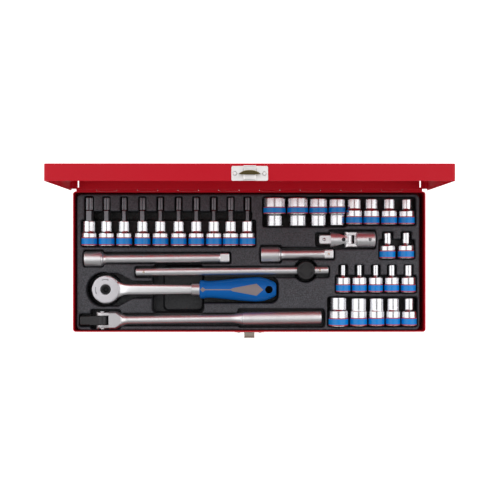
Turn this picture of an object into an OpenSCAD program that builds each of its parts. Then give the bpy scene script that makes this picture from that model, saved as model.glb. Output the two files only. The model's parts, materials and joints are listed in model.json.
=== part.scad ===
// Socket wrench set in a hinged sheet-steel case, lid standing open at a right angle.
// Millimetres, +Z up, +X along the case, +Y towards the hinge, origin in the middle of the underside.

/* [Case] */
// Outer width of the base tray of the case
case_w = 363; // [361:1:366]
// Outer depth of the base
case_d = 144.6; // [144:0.2:145]
// Height of the base up to its rim
rim_z = 31; // [30.6:0.2:31.4]
// Thickness of the base sheet
sheet = 1; // [0.8:0.1:1]
// Thickness of the lid sheet
lid_sheet = 0.8; // [0.6:0.1:0.8]
// How far the lid panel stands over the rim when closed
lid_over = 14; // [13.5:0.5:15]
// How far the lid skirts reach down past the rim
lid_lap = 1.5; // [1:0.1:1.5]
// Angle that the lid stands open in this model
lid_open = 90; // [90:5:110]
// Radius of the upright corners
corner_r = 3; // [2:0.5:4]

/* [Hinge] */
// Outside radius of the hinge knuckles
knuckle_r = 1.9; // [1.8:0.1:1.9]
// Radius of the hinge pin
hinge_pin_r = 0.8; // [0.7:0.1:0.8]
// Length of the piano hinge
hinge_l = 356; // [340:2:356]
// Number of knuckles along the hinge
knuckles = 17; // [9:2:21]

/* [Insert] */
// Height of the top face of the moulded insert
insert_z = 27; // [26.5:0.5:27.5]
// Wall thickness of the moulded insert
insert_t = 1.4; // [1:0.1:1.6]
// Height of the tools' axes over the table
axis_z = 23.5; // [23.5:0.1:24]

/* [Drive] */
// Side of the drive square
square = 9.5; // [9.4:0.05:9.55]
// Side of the square hole that takes it
square_hole = 9.6; // [9.6:0.05:9.8]

/* [Ratchet] */
// Radius of the ratchet head
head_r = 14.6; // [14.4:0.1:15]
// Teeth on the ratchet gear
gear_teeth = 36; // [36:12:72]
// Radius of the direction dial
dial_r = 14.3; // [13.5:0.1:14.4]
// Travel of the quick-release button
button_travel = 2; // [1:0.5:2]

/* [Long tools] */
// Length of the long extension bar
ext_long = 150; // [148:0.5:150]
// Length of the short extension bar
ext_short = 75; // [73:0.5:75]
// Length of the sliding T bar
tbar_l = 199.5; // [196:0.5:200]
// Radius of the sliding T bar
tbar_r = 4.1; // [3.9:0.05:4.1]
// Diameter of the flex handle's shaft
flex_d = 9.5; // [8:0.5:9.5]

/* [Hidden] */
$fn = 48;
e = 0.02;
hy = case_d/2 + 2.2;                 // hinge line
hz = rim_z;
lid_x = case_w/2 + 1.65;             // outside of the lid's side skirts
lid_y = hy - case_d - 3.9;           // front face of the closed lid (negative Y)
lid_top = rim_z + lid_over;
back_y = case_d/2;

// Sockets: [x, y of the end towards the hinge, total length, wide radius, wide length, narrow radius, drive end is wide]
// Row 1 left: big hex end towards the hinge, drive end towards the front
SA = [[26.1, 66.0, 29.4, 11.7, 17.2, 8.6], [50.1, 66.0, 29.3, 10.9, 17, 8.9], [71.5, 65.3, 28.6, 9.45, 16.4, 8.2], [90.9, 64.8, 27.4, 8.7, 15.6, 7.7]];
// the rest: slim hex end towards the hinge
//  [x, y_back, length, drive radius, hex radius, hex length]
SB = [[108.7, 64.9, 26.6, 8.55, 7.2, 10.4], [126.5, 64.8, 26.5, 8.4, 6.75, 10.4], [144.9, 64.8, 26.6, 8.4, 6.15, 10.4], [163.0, 64.5, 26.3, 8.4, 5.35, 10.4],
      [143.1, 29.6, 26.6, 8.4, 4.3, 11.3], [162.4, 29.9, 26.7, 8.5, 4.05, 11.3],
      [97.2, -3.5, 28.4, 7.75, 2.75, 10.9], [114.0, -3.5, 28.4, 7.7, 2.95, 10.9], [130.9, -3.5, 28.4, 7.6, 3.2, 10.9], [147.6, -3.6, 28.2, 7.7, 3.6, 10.9], [164.8, -3.7, 28.3, 7.8, 4.3, 10.9],
      [92.3, -37.2, 29.6, 10.35, 8.8, 12.2], [113.2, -37.9, 28.7, 8.95, 8.25, 11.8], [131.8, -38.0, 28.5, 8.3, 7.5, 11.7], [148.9, -38.1, 28.3, 7.65, 6.5, 11.7], [165.6, -38.1, 28.4, 8.1, 4.95, 11.7]];
// Bit sockets: [x, shank radius, width of the bit across its tips]
BX = [[-165.7, 6.9, 8], [-147.8, 6.05, 6.6], [-129.65, 6.05, 5.2], [-110.7, 6.05, 6.6], [-92.15, 6.05, 5], [-73.2, 6.05, 5.4], [-54.95, 6.05, 5.4], [-36.8, 6.05, 4.6], [-19.35, 6.05, 6.4], [-2.0, 6.05, 4.8]];

// ---- helpers ----
module rrect(w, d, r) {
  square([w - 2*r, d], center = true);
  square([w, d - 2*r], center = true);
  for (sx = [-1, 1], sy = [-1, 1]) translate([sx*(w/2 - r), sy*(d/2 - r)]) circle(r);
}
module rbox(x0, x1, y0, y1, z0, z1, r) {
  translate([(x0 + x1)/2, (y0 + y1)/2, z0]) linear_extrude(z1 - z0) rrect(x1 - x0, y1 - y0, min(r, (x1 - x0)/2 - 0.05, (y1 - y0)/2 - 0.05));
}
module along_x(x = 0) { translate([x, 0, 0]) rotate([0, 90, 0]) children(); }
// solid of revolution about the X axis from a list of [x, r]
module turned_x(p) { rotate([90, 0, 90]) rotate_extrude() polygon(concat([[0, p[0][0]]], [for (q = p) [q[1], q[0]]], [[0, p[len(p) - 1][0]]])); }
// the same about the Y axis, from [y, r] with y rising
module turned_y(p) { rotate([-90, 0, 0]) rotate_extrude() polygon(concat([[0, p[0][0]]], [for (q = p) [q[1], q[0]]], [[0, p[len(p) - 1][0]]])); }
module hexagon(af) { circle(r = af/2/cos(30), $fn = 6); }
// closed lid frame to the open position
module opened() { translate([0, hy, hz]) rotate([-lid_open, 0, 0]) translate([0, -hy, -hz]) children(); }

// ---- case ----
module case_base() {
  color([0.78, 0.08, 0.14]) difference() {
    linear_extrude(rim_z) rrect(case_w, case_d, corner_r);
    translate([0, 0, sheet]) linear_extrude(rim_z) rrect(case_w - 2*sheet, case_d - 2*sheet, corner_r - sheet);
  }
}

module lid_closed() {
  y1 = back_y;
  cy = (lid_y + y1)/2;
  d = y1 - lid_y;
  difference() {
    translate([0, cy, rim_z - lid_lap]) linear_extrude(lid_over + lid_lap) rrect(2*lid_x, d, corner_r);
    translate([0, cy, rim_z - lid_lap - 1]) linear_extrude(lid_over + lid_lap + 1 - lid_sheet) rrect(2*lid_x - 2*lid_sheet, d - 2*lid_sheet, corner_r - lid_sheet);
    // the back skirt stops above the rim
    translate([-lid_x + lid_sheet, y1 - 6, rim_z - lid_lap - 1]) cube([2*lid_x - 2*lid_sheet, 10, lid_lap + 1.2]);
    // open seams where the back skirt meets the folded tabs
    for (s = [-1, 1]) translate([s*175.5 - 0.65, y1 - 3, rim_z - 3]) cube([1.3, 6, lid_over + 2]);
  }
}
module lid() { color([0.78, 0.08, 0.14]) opened() lid_closed(); }

// hinge: leaf plate with alternate knuckles, bored for the pin
seg = hinge_l/knuckles;
module knuckle_row(odd, r, gap) {
  for (i = [0:knuckles - 1]) if (i % 2 == odd)
    translate([-hinge_l/2 + i*seg + gap/2, hy, hz]) along_x() cylinder(r = r, h = seg - gap);
}
module hinge_base_leaf() {
  color([0.72, 0.08, 0.13]) difference() {
    union() {
      difference() {
        translate([-hinge_l/2, back_y, rim_z - 12]) cube([hinge_l, 0.8, 12]);
        knuckle_row(1, knuckle_r + 0.35, -0.4);
      }
      knuckle_row(0, knuckle_r, 0.4);
    }
    translate([-hinge_l/2 - 1, hy, hz]) along_x() cylinder(r = hinge_pin_r + 0.05, h = hinge_l + 2);
  }
}
module hinge_lid_leaf() {
  color([0.72, 0.08, 0.13]) opened() difference() {
    union() {
      difference() {
        translate([-hinge_l/2 + 6, back_y, rim_z + 0.4]) cube([hinge_l - 12, 0.8, 11]);
        knuckle_row(0, knuckle_r + 0.35, -0.4);
      }
      knuckle_row(1, knuckle_r, 0.4);
    }
    translate([-hinge_l/2 - 1, hy, hz]) along_x() cylinder(r = hinge_pin_r + 0.05, h = hinge_l + 2);
  }
}
module hinge_pin() { color([0.6, 0.6, 0.62]) translate([-hinge_l/2, hy, hz]) along_x() cylinder(r = hinge_pin_r, h = hinge_l); }

// latch on the lid's front skirt, drawn in the closed frame
lp_y = lid_y;                 // face of the skirt
lp_t = 0.7;                   // plate thickness
lv_z = rim_z + 8.8;           // lever pivot
lv_y = lid_y - 2.1;
module latch_plate() {
  color([0.86, 0.85, 0.83]) opened() difference() {
    union() {
      translate([0, lp_y, (rim_z - 1.4 + rim_z + 11.7)/2]) rotate([90, 0, 0]) linear_extrude(lp_t) rrect(32.5, 13.1, 1.3);
      // two upright ears that hold the pivot
      for (s = [-1, 1]) translate([s*6.75 - 0.55, lp_y - lp_t - 2.6, lv_z - 2.2]) cube([1.1, 2.7, 4.4]);
      // raised bridge above the lever
      translate([-5.5, lp_y - lp_t - 1.3, lv_z + 2.5]) cube([11, 1.35, 0.9]);
    }
    for (s = [-1, 1]) translate([s*13.1, lp_y + 1, rim_z + 5]) rotate([90, 0, 0]) cylinder(r = 1.25, h = 4);
    translate([-9, lv_y, lv_z]) along_x() cylinder(r = 0.75, h = 18);
  }
}
module latch_rivets() {
  color([0.9, 0.9, 0.9]) opened() for (s = [-1, 1]) translate([s*13.1, lp_y - lp_t, rim_z + 5]) rotate([90, 0, 0]) {
    translate([0, 0, -lp_t]) cylinder(r = 1.25, h = lp_t);
    cylinder(r1 = 2.1, r2 = 1.3, h = 0.9);
  }
}
module latch_lever() {
  color([0.84, 0.83, 0.8]) opened() difference() {
    union() {
      translate([-5.5, lv_y - 0.5, rim_z - 1.3]) cube([11, 0.9, 9.2]);
      translate([-5.9, lv_y, lv_z]) along_x() cylinder(r = 1.25, h = 11.8);
      // crescent thumb lip standing out from the lever
      translate([0, lv_y - 1.5, lv_z - 0.9]) rotate([90, 0, 0]) linear_extrude(1)
        intersection() { translate([0, -13.4]) circle(14.2); translate([-9.5, -3.4]) square([19, 5]); }
      translate([-5.3, lv_y - 1.6, lv_z - 4.2]) cube([10.6, 1.3, 3.6]);
      translate([0, lv_y - 0.6, lv_z - 4.2]) linear_extrude(0.8)
        intersection() { translate([0, 10.5]) circle(14.4); translate([-9.5, -5]) square([19, 4.4]); }
      // ridge that the catch snaps over
      translate([-4.5, lv_y - 0.5, rim_z + 0.2]) along_x() cylinder(r = 0.5, h = 9);
    }
    translate([-9, lv_y, lv_z]) along_x() cylinder(r = 0.65, h = 18);
  }
}
module latch_pin() { color([0.6, 0.58, 0.5]) opened() translate([-7.4, lv_y, lv_z]) along_x() cylinder(r = 0.6, h = 14.8); }

// catch on the base's front face
cf_y = -case_d/2;
module catch_bracket() {
  color([0.62, 0.58, 0.5]) difference() {
    union() {
      translate([0, cf_y, rim_z - 10.2]) rotate([90, 0, 0]) linear_extrude(0.8) rrect(30.6, 11, 1.3);
      translate([-5.3, cf_y - 5.9, rim_z - 5.4]) cube([10.6, 5.9, 0.8]);
      translate([-5.3, cf_y - 5.9, rim_z - 5.4]) cube([10.6, 0.7, 6.8]);
      translate([-5.3, cf_y - 5.4, rim_z + 1.6]) along_x() cylinder(r = 0.75, h = 10.6);
    }
    for (s = [-1, 1]) translate([s*11, cf_y + 1, rim_z - 10.2]) rotate([90, 0, 0]) cylinder(r = 1.25, h = 4);
  }
}
module catch_rivets() {
  color([0.8, 0.78, 0.72]) for (s = [-1, 1]) translate([s*11, cf_y - 0.8, rim_z - 10.2]) rotate([90, 0, 0]) {
    translate([0, 0, -0.8]) cylinder(r = 1.25, h = 0.8);
    cylinder(r1 = 2.1, r2 = 1.3, h = 0.9);
  }
}

// ---- moulded insert ----
// each pocket: [x0, x1, y0, y1, floor z, corner r]
POCKETS = [
  [-174.4, 7.4, 14.6, 43.6, 14.7, 3], [-170.9, -160.5, 42, 68, 16.2, 2.5], [-162.5, 3.2, 43, 52.4, 10, 2.5],
  [13.3, 101, 35.2, 67.4, 11.3, 3], [98, 172.9, 36.8, 67.2, 14.6, 3],
  [82.6, 130.9, 13.2, 32.6, 14.6, 2.5], [68.6, 86, 16.4, 29.4, 14.6, 2.5],
  [133.4, 172, 2, 23.4, 14.6, 2.5], [137, 149.4, 20, 31.4, 17, 2], [156.4, 168.6, 20, 31.6, 17, 2],
  [88.3, 173.6, -33.2, -13.6, 15.2, 2.5],
  [80.4, 174.4, -68, -36, 12.7, 3],
  [-172.3, -150, -6.2, 12.6, 15, 2.5], [-152, -18.4, -2.9, 10.3, 16.6, 2.5],
  [10.6, 34, -2.0, 17.5, 15, 2.5], [32, 88.9, 1.2, 15.4, 16.6, 2.5],
  [-119, 83.6, -17.2, -4.2, 16.6, 2.5],
  [-129, -98, -38.5, -19.9, 13, 2.5],
  [-101, -46.5, -53.4, -2.8, 5, 5],
  [-54, 30.4, -43.4, -15.3, 10.4, 8],
  [-176.4, -163, -67.8, -53.6, 15, 2.5], [-165, -132.2, -70.2, -49, 13.2, 3], [-135, -10, -67.2, -52.8, 16.6, 2.5], [-13, 78.8, -68.8, -48.2, 14.6, 4]];
// round recesses: [x, y, r, floor z]
ROUNDS = [[58.4, -9.2, 12.6, 4.3], [-150.6, -29, 18.2, 4.3]];
tx0 = -178.4; tx1 = 176.1; ty0 = -70.9; ty1 = 69.7;
module pocket_set(g, up) {
  for (p = POCKETS) rbox(p[0] - g, p[1] + g, p[2] - g, p[3] + g, p[4] - g, up, p[5] + g);
  for (p = BX) if (p[0] > -160) rbox(p[0] - 4.35 - g, p[0] + 4.35 + g, 50 - g, 67.6 + g, 18.2 - g, up, 2 + g);
  for (i = [6:10]) rbox(SB[i][0] - 5.4 - g, SB[i][0] + 5.4 + g, -16 - g, -2.9 + g, 17.5 - g, up, 2 + g);
  for (p = ROUNDS) translate([p[0], p[1], p[3] - g]) cylinder(r = p[2] + g, h = up - p[3] + g);
  // sloping shoulders between the ratchet head recess and its shank
  translate([0, 0, 13 - g]) linear_extrude(up - 13 + g) polygon([[-149, -11.6 + g], [-136, -11.6 + g], [-120 + g, -20 + g], [-120 + g, -38.4 - g], [-136, -46.8 - g], [-149, -46.8 - g]]);
}
module insert_tray() {
  color([0.27, 0.27, 0.29]) difference() {
    union() {
      difference() {
        rbox(tx0, tx1, ty0, ty1, sheet, insert_z, 5);
        rbox(tx0 + insert_t, tx1 - insert_t, ty0 + insert_t, ty1 - insert_t, 0, insert_z - insert_t, 3.6);
      }
      intersection() {
        rbox(tx0 + 0.5, tx1 - 0.5, ty0 + 0.5, ty1 - 0.5, sheet, insert_z - 0.5, 4.5);
        pocket_set(insert_t, insert_z);
      }
    }
    pocket_set(0, insert_z + 5);
  }
}

// ---- ratchet ----
rx = -148.1; ry = -28.8;
gear_r = 10.2;
module ratchet_body() {
  color([0.72, 0.72, 0.74]) translate([rx, ry, 0]) difference() {
    union() {
      translate([0, 0, 15.6]) cylinder(r = head_r, h = 11.4);
      // neck that narrows into the shank
      translate([0, 0, 17.2]) linear_extrude(9) polygon([[3, 14], [12, 9.4], [17, 6.6], [24, 5.7], [24, -5.7], [17, -6.6], [12, -9.4], [3, -14]]);
      translate([0, 0, axis_z]) turned_x([[18, 4.6], [20, 5.7], [60, 5.2], [89.6, 4.75], [89.6, 6.4], [95.9, 6.4], [95.9, 4.1], [161, 4.1]]);
    }
    translate([0, 0, 15]) cylinder(r = gear_r + 0.5, h = 10.4);
    translate([9, -4.2, 16.8]) cube([7.6, 8.4, 8.6]);
    translate([0, 0, 20]) cylinder(r = 6.1, h = 10);
    translate([100, -20, 0]) cube([70, 40, axis_z - 3.2]);
  }
}
// 36 saw-tooth flanks around the drive, one tooth centred on +X
module ratchet_gear() {
  color([0.68, 0.68, 0.7]) translate([rx, ry, 0]) difference() {
    union() {
      translate([0, 0, 16.4]) linear_extrude(8.6) polygon([for (i = [0:2*gear_teeth - 1]) let (a = 180*i/gear_teeth, r = i % 2 == 0 ? gear_r : gear_r - 0.7) [r*cos(a), r*sin(a)]]);
      translate([0, 0, 16.4]) cylinder(r = 6.8, h = 0.1);
      intersection() {
        translate([-square/2, -square/2, 5.8]) cube([square, square, 11]);
        translate([0, 0, 5.8]) cylinder(r1 = 5.4, r2 = 6.1, h = 1);
      }
      intersection() {
        translate([-square/2, -square/2, 6.8]) cube([square, square, 10]);
        translate([0, 0, 6.8]) cylinder(r = 6.1, h = 10);
      }
      translate([0, 0, 24.9]) cylinder(r = 5.8, h = 2);
    }
    translate([0, 0, 9]) cylinder(r = 2.1, h = 20);
    translate([0, 0, 24.6]) cylinder(r = 5.25, h = 4);
    // seat of the retaining ball
    translate([0, 0, 10.2]) rotate([90, 0, 0]) cylinder(r = 1.65, h = 6);
  }
  color([0.8, 0.8, 0.8]) translate([rx, ry - 3.6, 10.2]) sphere(r = 1.55);
}
module ratchet_pawl() {
  color([0.5, 0.5, 0.52]) translate([rx, ry, 0]) difference() {
    translate([9.2, -3.6, 17.2]) cube([6.8, 7.2, 7.6]);
    translate([0, 0, 15]) linear_extrude(12) polygon([for (i = [0:2*gear_teeth - 1]) let (a = 180*i/gear_teeth, r = (i % 2 == 0 ? gear_r : gear_r - 0.7) + 0.2) [r*cos(a), r*sin(a)]]);
  }
}
module ratchet_dial() {
  color([0.8, 0.8, 0.81]) translate([rx, ry, 27.3]) difference() {
    union() {
      cylinder(r = dial_r - 0.7, h = 2.3);
      for (i = [0:8]) rotate(40*i) translate([dial_r - 4.6, 0, 0]) cylinder(r = 4.6, h = 2.3);
      translate([0, 0, 2.3]) cylinder(r1 = dial_r - 1.2, r2 = dial_r - 2.2, h = 0.4);
    }
    translate([0, 0, -1]) cylinder(r = 6.1, h = 5);
  }
}
module ratchet_button() {
  color([0.08, 0.08, 0.09]) translate([rx, ry, 0]) {
    translate([0, 0, 27]) cylinder(r = 5.2, h = 3.6);
    translate([0, 0, 11.2]) cylinder(r = 2.04, h = 16);
  }
}
grip_p = [[96.6, 6], [97.3, 9.3], [101, 9.45], [103.4, 8.75], [108.4, 8.7], [118.4, 9.6], [130, 11.2], [142, 12.2], [154, 12.55], [162, 12.35], [168.4, 11.2], [172.8, 9.2], [175.2, 6.8], [176, 3.5]];
module grip_raw() { translate([rx, ry, axis_z]) turned_x(grip_p); }
module inlay_outline() {
  polygon([[97.6, 0], [100, 2.2], [102.4, 0.5], [130, 0.5], [155.5, 6.2], [161.7, 0], [155.5, -6.2], [130, -0.5], [102.4, -0.5], [100, -2.2]]);
}
module ratchet_grip() {
  color([0, 0.29, 0.6]) difference() {
    grip_raw();
    translate([rx + 90, ry, axis_z]) along_x() cylinder(r = 4.12, h = 72);
    translate([rx + 168.4, ry, 0]) cylinder(r = 3.8, h = 60);
    translate([rx, ry, axis_z + 7.4]) linear_extrude(10) inlay_outline();
  }
}
module ratchet_grip_inlay() {
  color([0.58, 0.55, 0.55]) intersection() {
    grip_raw();
    translate([rx, ry, axis_z + 7.4]) linear_extrude(10) inlay_outline();
  }
}

// ---- flex handle: drawn along X from its pivot, turned slightly in its bed ----
fx = -152.2; fy = -60.7; fa = 0.74;
module flex_at() { translate([fx, fy, axis_z]) rotate([0, 0, fa]) children(); }
module flex_handle_bar() {
  color([0.72, 0.72, 0.74]) flex_at() difference() {
    union() {
      intersection() {
        union() { along_x(0) cylinder(r = 9, h = 14); rotate([90, 0, 0]) translate([0, 0, -9]) cylinder(r = 6.4, h = 18); }
        translate([-7, -9, -6.4]) cube([30, 18, 12.8]);
      }
      turned_x([[12, 9], [15.4, 9], [23, 5.2], [26, 4.75], [132, 4.75], [144, 6.6], [146, 6.95], [226, 6.95], [226.8, 6.2]]);
    }
    translate([-10, -4.8, -12]) cube([17.2, 9.6, 24]);
    rotate([90, 0, 0]) translate([0, 0, -12]) cylinder(r = 2.55, h = 24);
  }
}
module flex_drive_head() {
  color([0.1, 0.1, 0.11]) flex_at() difference() {
    union() {
      rotate([90, 0, 0]) translate([0, 0, -4.4]) cylinder(r = 6.3, h = 8.8);
      translate([-12.4, -4.4, -5.3]) cube([12.4, 8.8, 10.6]);
      intersection() {
        translate([-22.6, -square/2, -square/2]) cube([11, square, square]);
        turned_x([[-22.6, 5.3], [-21.6, 6.1], [-11, 6.1]]);
      }
    }
    rotate([90, 0, 0]) translate([0, 0, -12]) cylinder(r = 2.55, h = 24);
    translate([-17.6, 0, 0]) rotate([-90, 0, 0]) cylinder(r = 1.65, h = 6);
  }
  color([0.8, 0.8, 0.8]) flex_at() translate([-17.6, 3.6, 0]) sphere(r = 1.55);
}
module flex_pivot_pin() { color([0.6, 0.6, 0.62]) flex_at() rotate([90, 0, 0]) translate([0, 0, -9]) cylinder(r = 2.5, h = 18); }

// ---- sliding T bar ----
sx = 58.4; sy = -9.1; sa = 0.55;
module tbar_at() { translate([sx, sy, axis_z]) rotate([0, 0, sa]) children(); }
module sliding_bar() {
  color([0.74, 0.74, 0.76]) tbar_at() difference() {
    turned_x([[-175.9, tbar_r - 0.7], [-175.2, tbar_r], [tbar_l - 176.6, tbar_r], [tbar_l - 175.9, tbar_r - 0.7]]);
    for (x = [-167.6, 14.6]) translate([x, 0, 0]) cylinder(r = 1.45, h = 6);
  }
  color([0.85, 0.8, 0.7]) tbar_at() for (x = [-167.6, 14.6]) translate([x, 0, 3.3]) sphere(r = 1.35);
}
module sliding_head() {
  color([0.1, 0.1, 0.11]) tbar_at() difference() {
    union() {
      translate([0, 0, -8]) cylinder(r = 9.3, h = 15.2);
      translate([0, 0, 7.2]) cylinder(r1 = 9.3, r2 = 8.5, h = 0.7);
      intersection() {
        translate([-square/2, -square/2, -18]) cube([square, square, 11]);
        union() { translate([0, 0, -17]) cylinder(r = 6.1, h = 11); translate([0, 0, -18]) cylinder(r1 = 5.3, r2 = 6.1, h = 1); }
      }
    }
    translate([-12, 0, 0]) along_x() cylinder(r = tbar_r + 0.08, h = 24);
    // two crescent recesses around the middle boss
    translate([0, 0, 6.2]) difference() {
      cylinder(r = 7.3, h = 4);
      translate([0, 0, -1]) cylinder(r = 4.9, h = 6);
      translate([-10, -1.6, -1]) cube([20, 3.2, 6]);
    }
    translate([0, 0, -13]) rotate([90, 0, 0]) cylinder(r = 1.65, h = 6);
  }
  color([0.8, 0.8, 0.8]) tbar_at() translate([0, -3.6, -13]) sphere(r = 1.55);
}

// ---- extension bars ----
// x0: socket end, L length, fl length of the socket end, ball on top or on the side
module ext_bar(L, fl, fr, ball_up) {
  difference() {
    union() {
      turned_x([[0, fr - 0.9], [0.9, fr], [fl - 1.5, fr], [fl, fr - 1.2], [fl + 1.6, 4.95], [fl + 3, 4.75], [L - 12.4, 4.75], [L - 9.4, 6.2]]);
      intersection() {
        translate([L - 11, -square/2, -square/2]) cube([11, square, square]);
        turned_x([[L - 11, 6.1], [L - 0.9, 6.1], [L, 5.4]]);
      }
    }
    translate([-1, -square_hole/2, -square_hole/2]) cube([12.5, square_hole, square_hole]);
    translate([-1, 0, 0]) turned_x([[0, 7.2], [2.2, 5]]);
    translate([5.6, 0, 0]) cylinder(r = 1.7, h = 12);
    translate([L - 4.9, 0, 0]) rotate(ball_up ? [0, 0, 0] : [-90, 0, 0]) cylinder(r = 1.65, h = 6);
  }
  translate([L - 4.9, ball_up ? 0 : 3.6, ball_up ? 3.6 : 0]) sphere(r = 1.55);
}
module extension_long() { color([0.74, 0.74, 0.76]) translate([-170.5, 2.6, axis_z]) rotate([0, 0, 0.6]) ext_bar(ext_long, 18, 7.85, false); }
module extension_short() { color([0.74, 0.74, 0.76]) translate([12.1, 7.1, axis_z]) rotate([0, 0, 0.6]) ext_bar(ext_short, 18.6, 7.9, true); }

// ---- universal joint ----
uy = 22.9; ux1 = 97.2; ux2 = 102.8;
module at_u(x) { translate([x, uy, axis_z]) children(); }
module ujoint_drive_yoke() {
  color([0.74, 0.74, 0.76]) difference() {
    union() {
      at_u(0) intersection() {
        translate([72.4, -square/2, -square/2]) cube([13, square, square]);
        turned_x([[72.4, 5.4], [73.3, 6.1], [86, 6.1]]);
      }
      at_u(0) intersection() {
        union() { along_x(84) cylinder(r = 7.9, h = 4); along_x(88) cylinder(r = 7.9, h = 13.4); }
        union() {
          translate([84, -7.9, -7.9]) cube([1, 15.8, 15.8]);
          translate([0, 0, -8]) linear_extrude(16) union() { polygon([[84, 7.9], [85.5, 7.9], [ux1, 4.2], [ux1, -4.2], [85.5, -7.9], [84, -7.9]]); translate([ux1, 0]) circle(4.2); }
        }
      }
    }
    at_u(0) translate([90.4, -10, -4.3]) cube([20, 20, 8.6]);
    at_u(ux1) translate([0, 0, -12]) cylinder(r = 2.05, h = 24);
    at_u(77.4) cylinder(r = 1.65, h = 6);
  }
  color([0.8, 0.8, 0.8]) at_u(77.4) translate([0, 0, 3.6]) sphere(r = 1.55);
}
module ujoint_cross() {
  color([0.8, 0.8, 0.81]) difference() {
    union() {
      at_u(0) translate([ux1, -4.2, -4]) cube([ux2 - ux1 + 1, 8.4, 8]);
      at_u(ux1) translate([0, 0, -4]) cylinder(r = 4.2, h = 8);
      at_u(ux2) rotate([90, 0, 0]) translate([0, 0, -4.2]) cylinder(r = 4.2, h = 8.4);
    }
    at_u(ux1) translate([0, 0, -12]) cylinder(r = 2.05, h = 24);
    at_u(ux2) rotate([90, 0, 0]) translate([0, 0, -12]) cylinder(r = 2.05, h = 24);
  }
}
module ujoint_pins() {
  color([0.5, 0.5, 0.52]) {
    at_u(ux1) difference() { translate([0, 0, -6.6]) cylinder(r = 2, h = 13.2); rotate([90, 0, 0]) translate([0, 0, -12]) cylinder(r = 0.3, h = 24); }
  }
}
module ujoint_socket_yoke() {
  color([0.74, 0.74, 0.76]) difference() {
    union() {
      at_u(0) turned_x([[109.6, 6.6], [111.4, 8.35], [129.2, 8.35], [130, 7.6]]);
      at_u(0) intersection() {
        along_x(90) cylinder(r = 8.35, h = 24);
        union() { translate([ux2, -9, -4.3]) cube([8.5, 18, 8.6]); translate([ux2, 0, 0]) rotate([90, 0, 0]) translate([0, 0, -9]) cylinder(r = 4.3, h = 18); }
      }
    }
    at_u(0) translate([90, -4.55, -10]) cube([18.6, 9.1, 20]);
    at_u(ux2) rotate([90, 0, 0]) translate([0, 0, -12]) cylinder(r = 2.0, h = 24);
    at_u(0) translate([118.5, -square_hole/2, -square_hole/2]) cube([12.5, square_hole, square_hole]);
    at_u(0) turned_x([[128.8, 5], [131, 7.2]]);
    at_u(124.4) cylinder(r = 1.7, h = 12);
  }
  // cross pin, pressed into the two arms
  color([0.5, 0.5, 0.52]) at_u(ux2) rotate([90, 0, 0]) translate([0, 0, -8]) cylinder(r = 2.0, h = 16);
}

// ---- sockets ----
function wall(r) = r > 5 ? 1.35 : 0.95;
function hex_af(r) = 2*(r - wall(r))*cos(30);
// big sockets: hex end (wide) towards +Y
module big_socket(p) {
  L = p[2]; wr = p[3]; wl = p[4]; nr = p[5];
  translate([p[0], p[1] - L, axis_z]) difference() {
    turned_y([[0, nr - 0.7], [0.7, nr], [L - wl - 1.4, nr], [L - wl, wr - 0.2], [L - wl + 0.5, wr], [L - 0.6, wr], [L, wr - 0.6]]);
    translate([-square_hole/2, -1, -square_hole/2]) cube([square_hole, L + 2, square_hole]);
    translate([0, L - wl + 2.4, 0]) rotate([-90, 30, 0]) linear_extrude(wl) hexagon(hex_af(wr));
    turned_y([[-1, 7.2], [1.1, 5]]);
    translate([0, 5.8, 0]) cylinder(r = 1.5, h = 12);
  }
}
// small sockets: drive end (wide) towards the front, slim hex end towards +Y
module small_socket(p) {
  L = p[2]; dr = p[3]; hr = p[4]; hl = p[5];
  s = min(hr, dr);
  translate([p[0], p[1] - L, axis_z]) difference() {
    turned_y([[0, dr - 0.7], [0.7, dr], [L - hl - 1.6 - (dr - s)*0.2, dr], [L - hl, s + (dr - s)*0.12], [L - hl + 0.6, s], [L - 0.5, s], [L, s - 0.5]]);
    translate([-square_hole/2, -1, -square_hole/2]) cube([square_hole, 12.2, square_hole]);
    translate([0, 9, 0]) rotate([-90, 0, 0]) cylinder(r = min(3.4, hex_af(s)/2 - 0.1), h = L - 8 - hl);
    translate([0, L - hl + 1, 0]) rotate([-90, 30, 0]) linear_extrude(hl) hexagon(hex_af(s));
    turned_y([[-1, 7.0], [1.1, 5]]);
    translate([0, 5.8, 0]) cylinder(r = 1.5, h = 12);
  }
}
// bit sockets: drive body towards the front, six-lobed bit towards +Y
module bit_socket(p) {
  y0 = 16.2; y1 = 66.5; nr = p[1]; w = p[2];
  translate([p[0], 0, axis_z]) difference() {
    union() {
      turned_y([[y0, 7.6], [y0 + 0.7, 8.3], [29.4, 8.3], [31, nr + 0.3], [31.8, nr], [41.5, nr], [42.1, nr - 0.6]]);
      translate([0, 41, 0]) rotate([-90, 0, 0]) cylinder(r = w*0.62/cos(30)*0.9, h = 13, $fn = 6);
      translate([0, 53.5, 0]) rotate([-90, 0, 0]) linear_extrude(y1 - 53.5) union() { circle(w*0.4); for (i = [0:5]) rotate(60*i) translate([w*0.38, 0]) circle(w*0.13); }
    }
    translate([-square_hole/2, y0 - 1, -square_hole/2]) cube([square_hole, 12.2, square_hole]);
    turned_y([[y0 - 1, 7.0], [y0 + 1.1, 5]]);
    translate([0, y0 + 5.8, 0]) cylinder(r = 1.5, h = 12);
  }
}
CH = [0.82, 0.82, 0.84];

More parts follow.
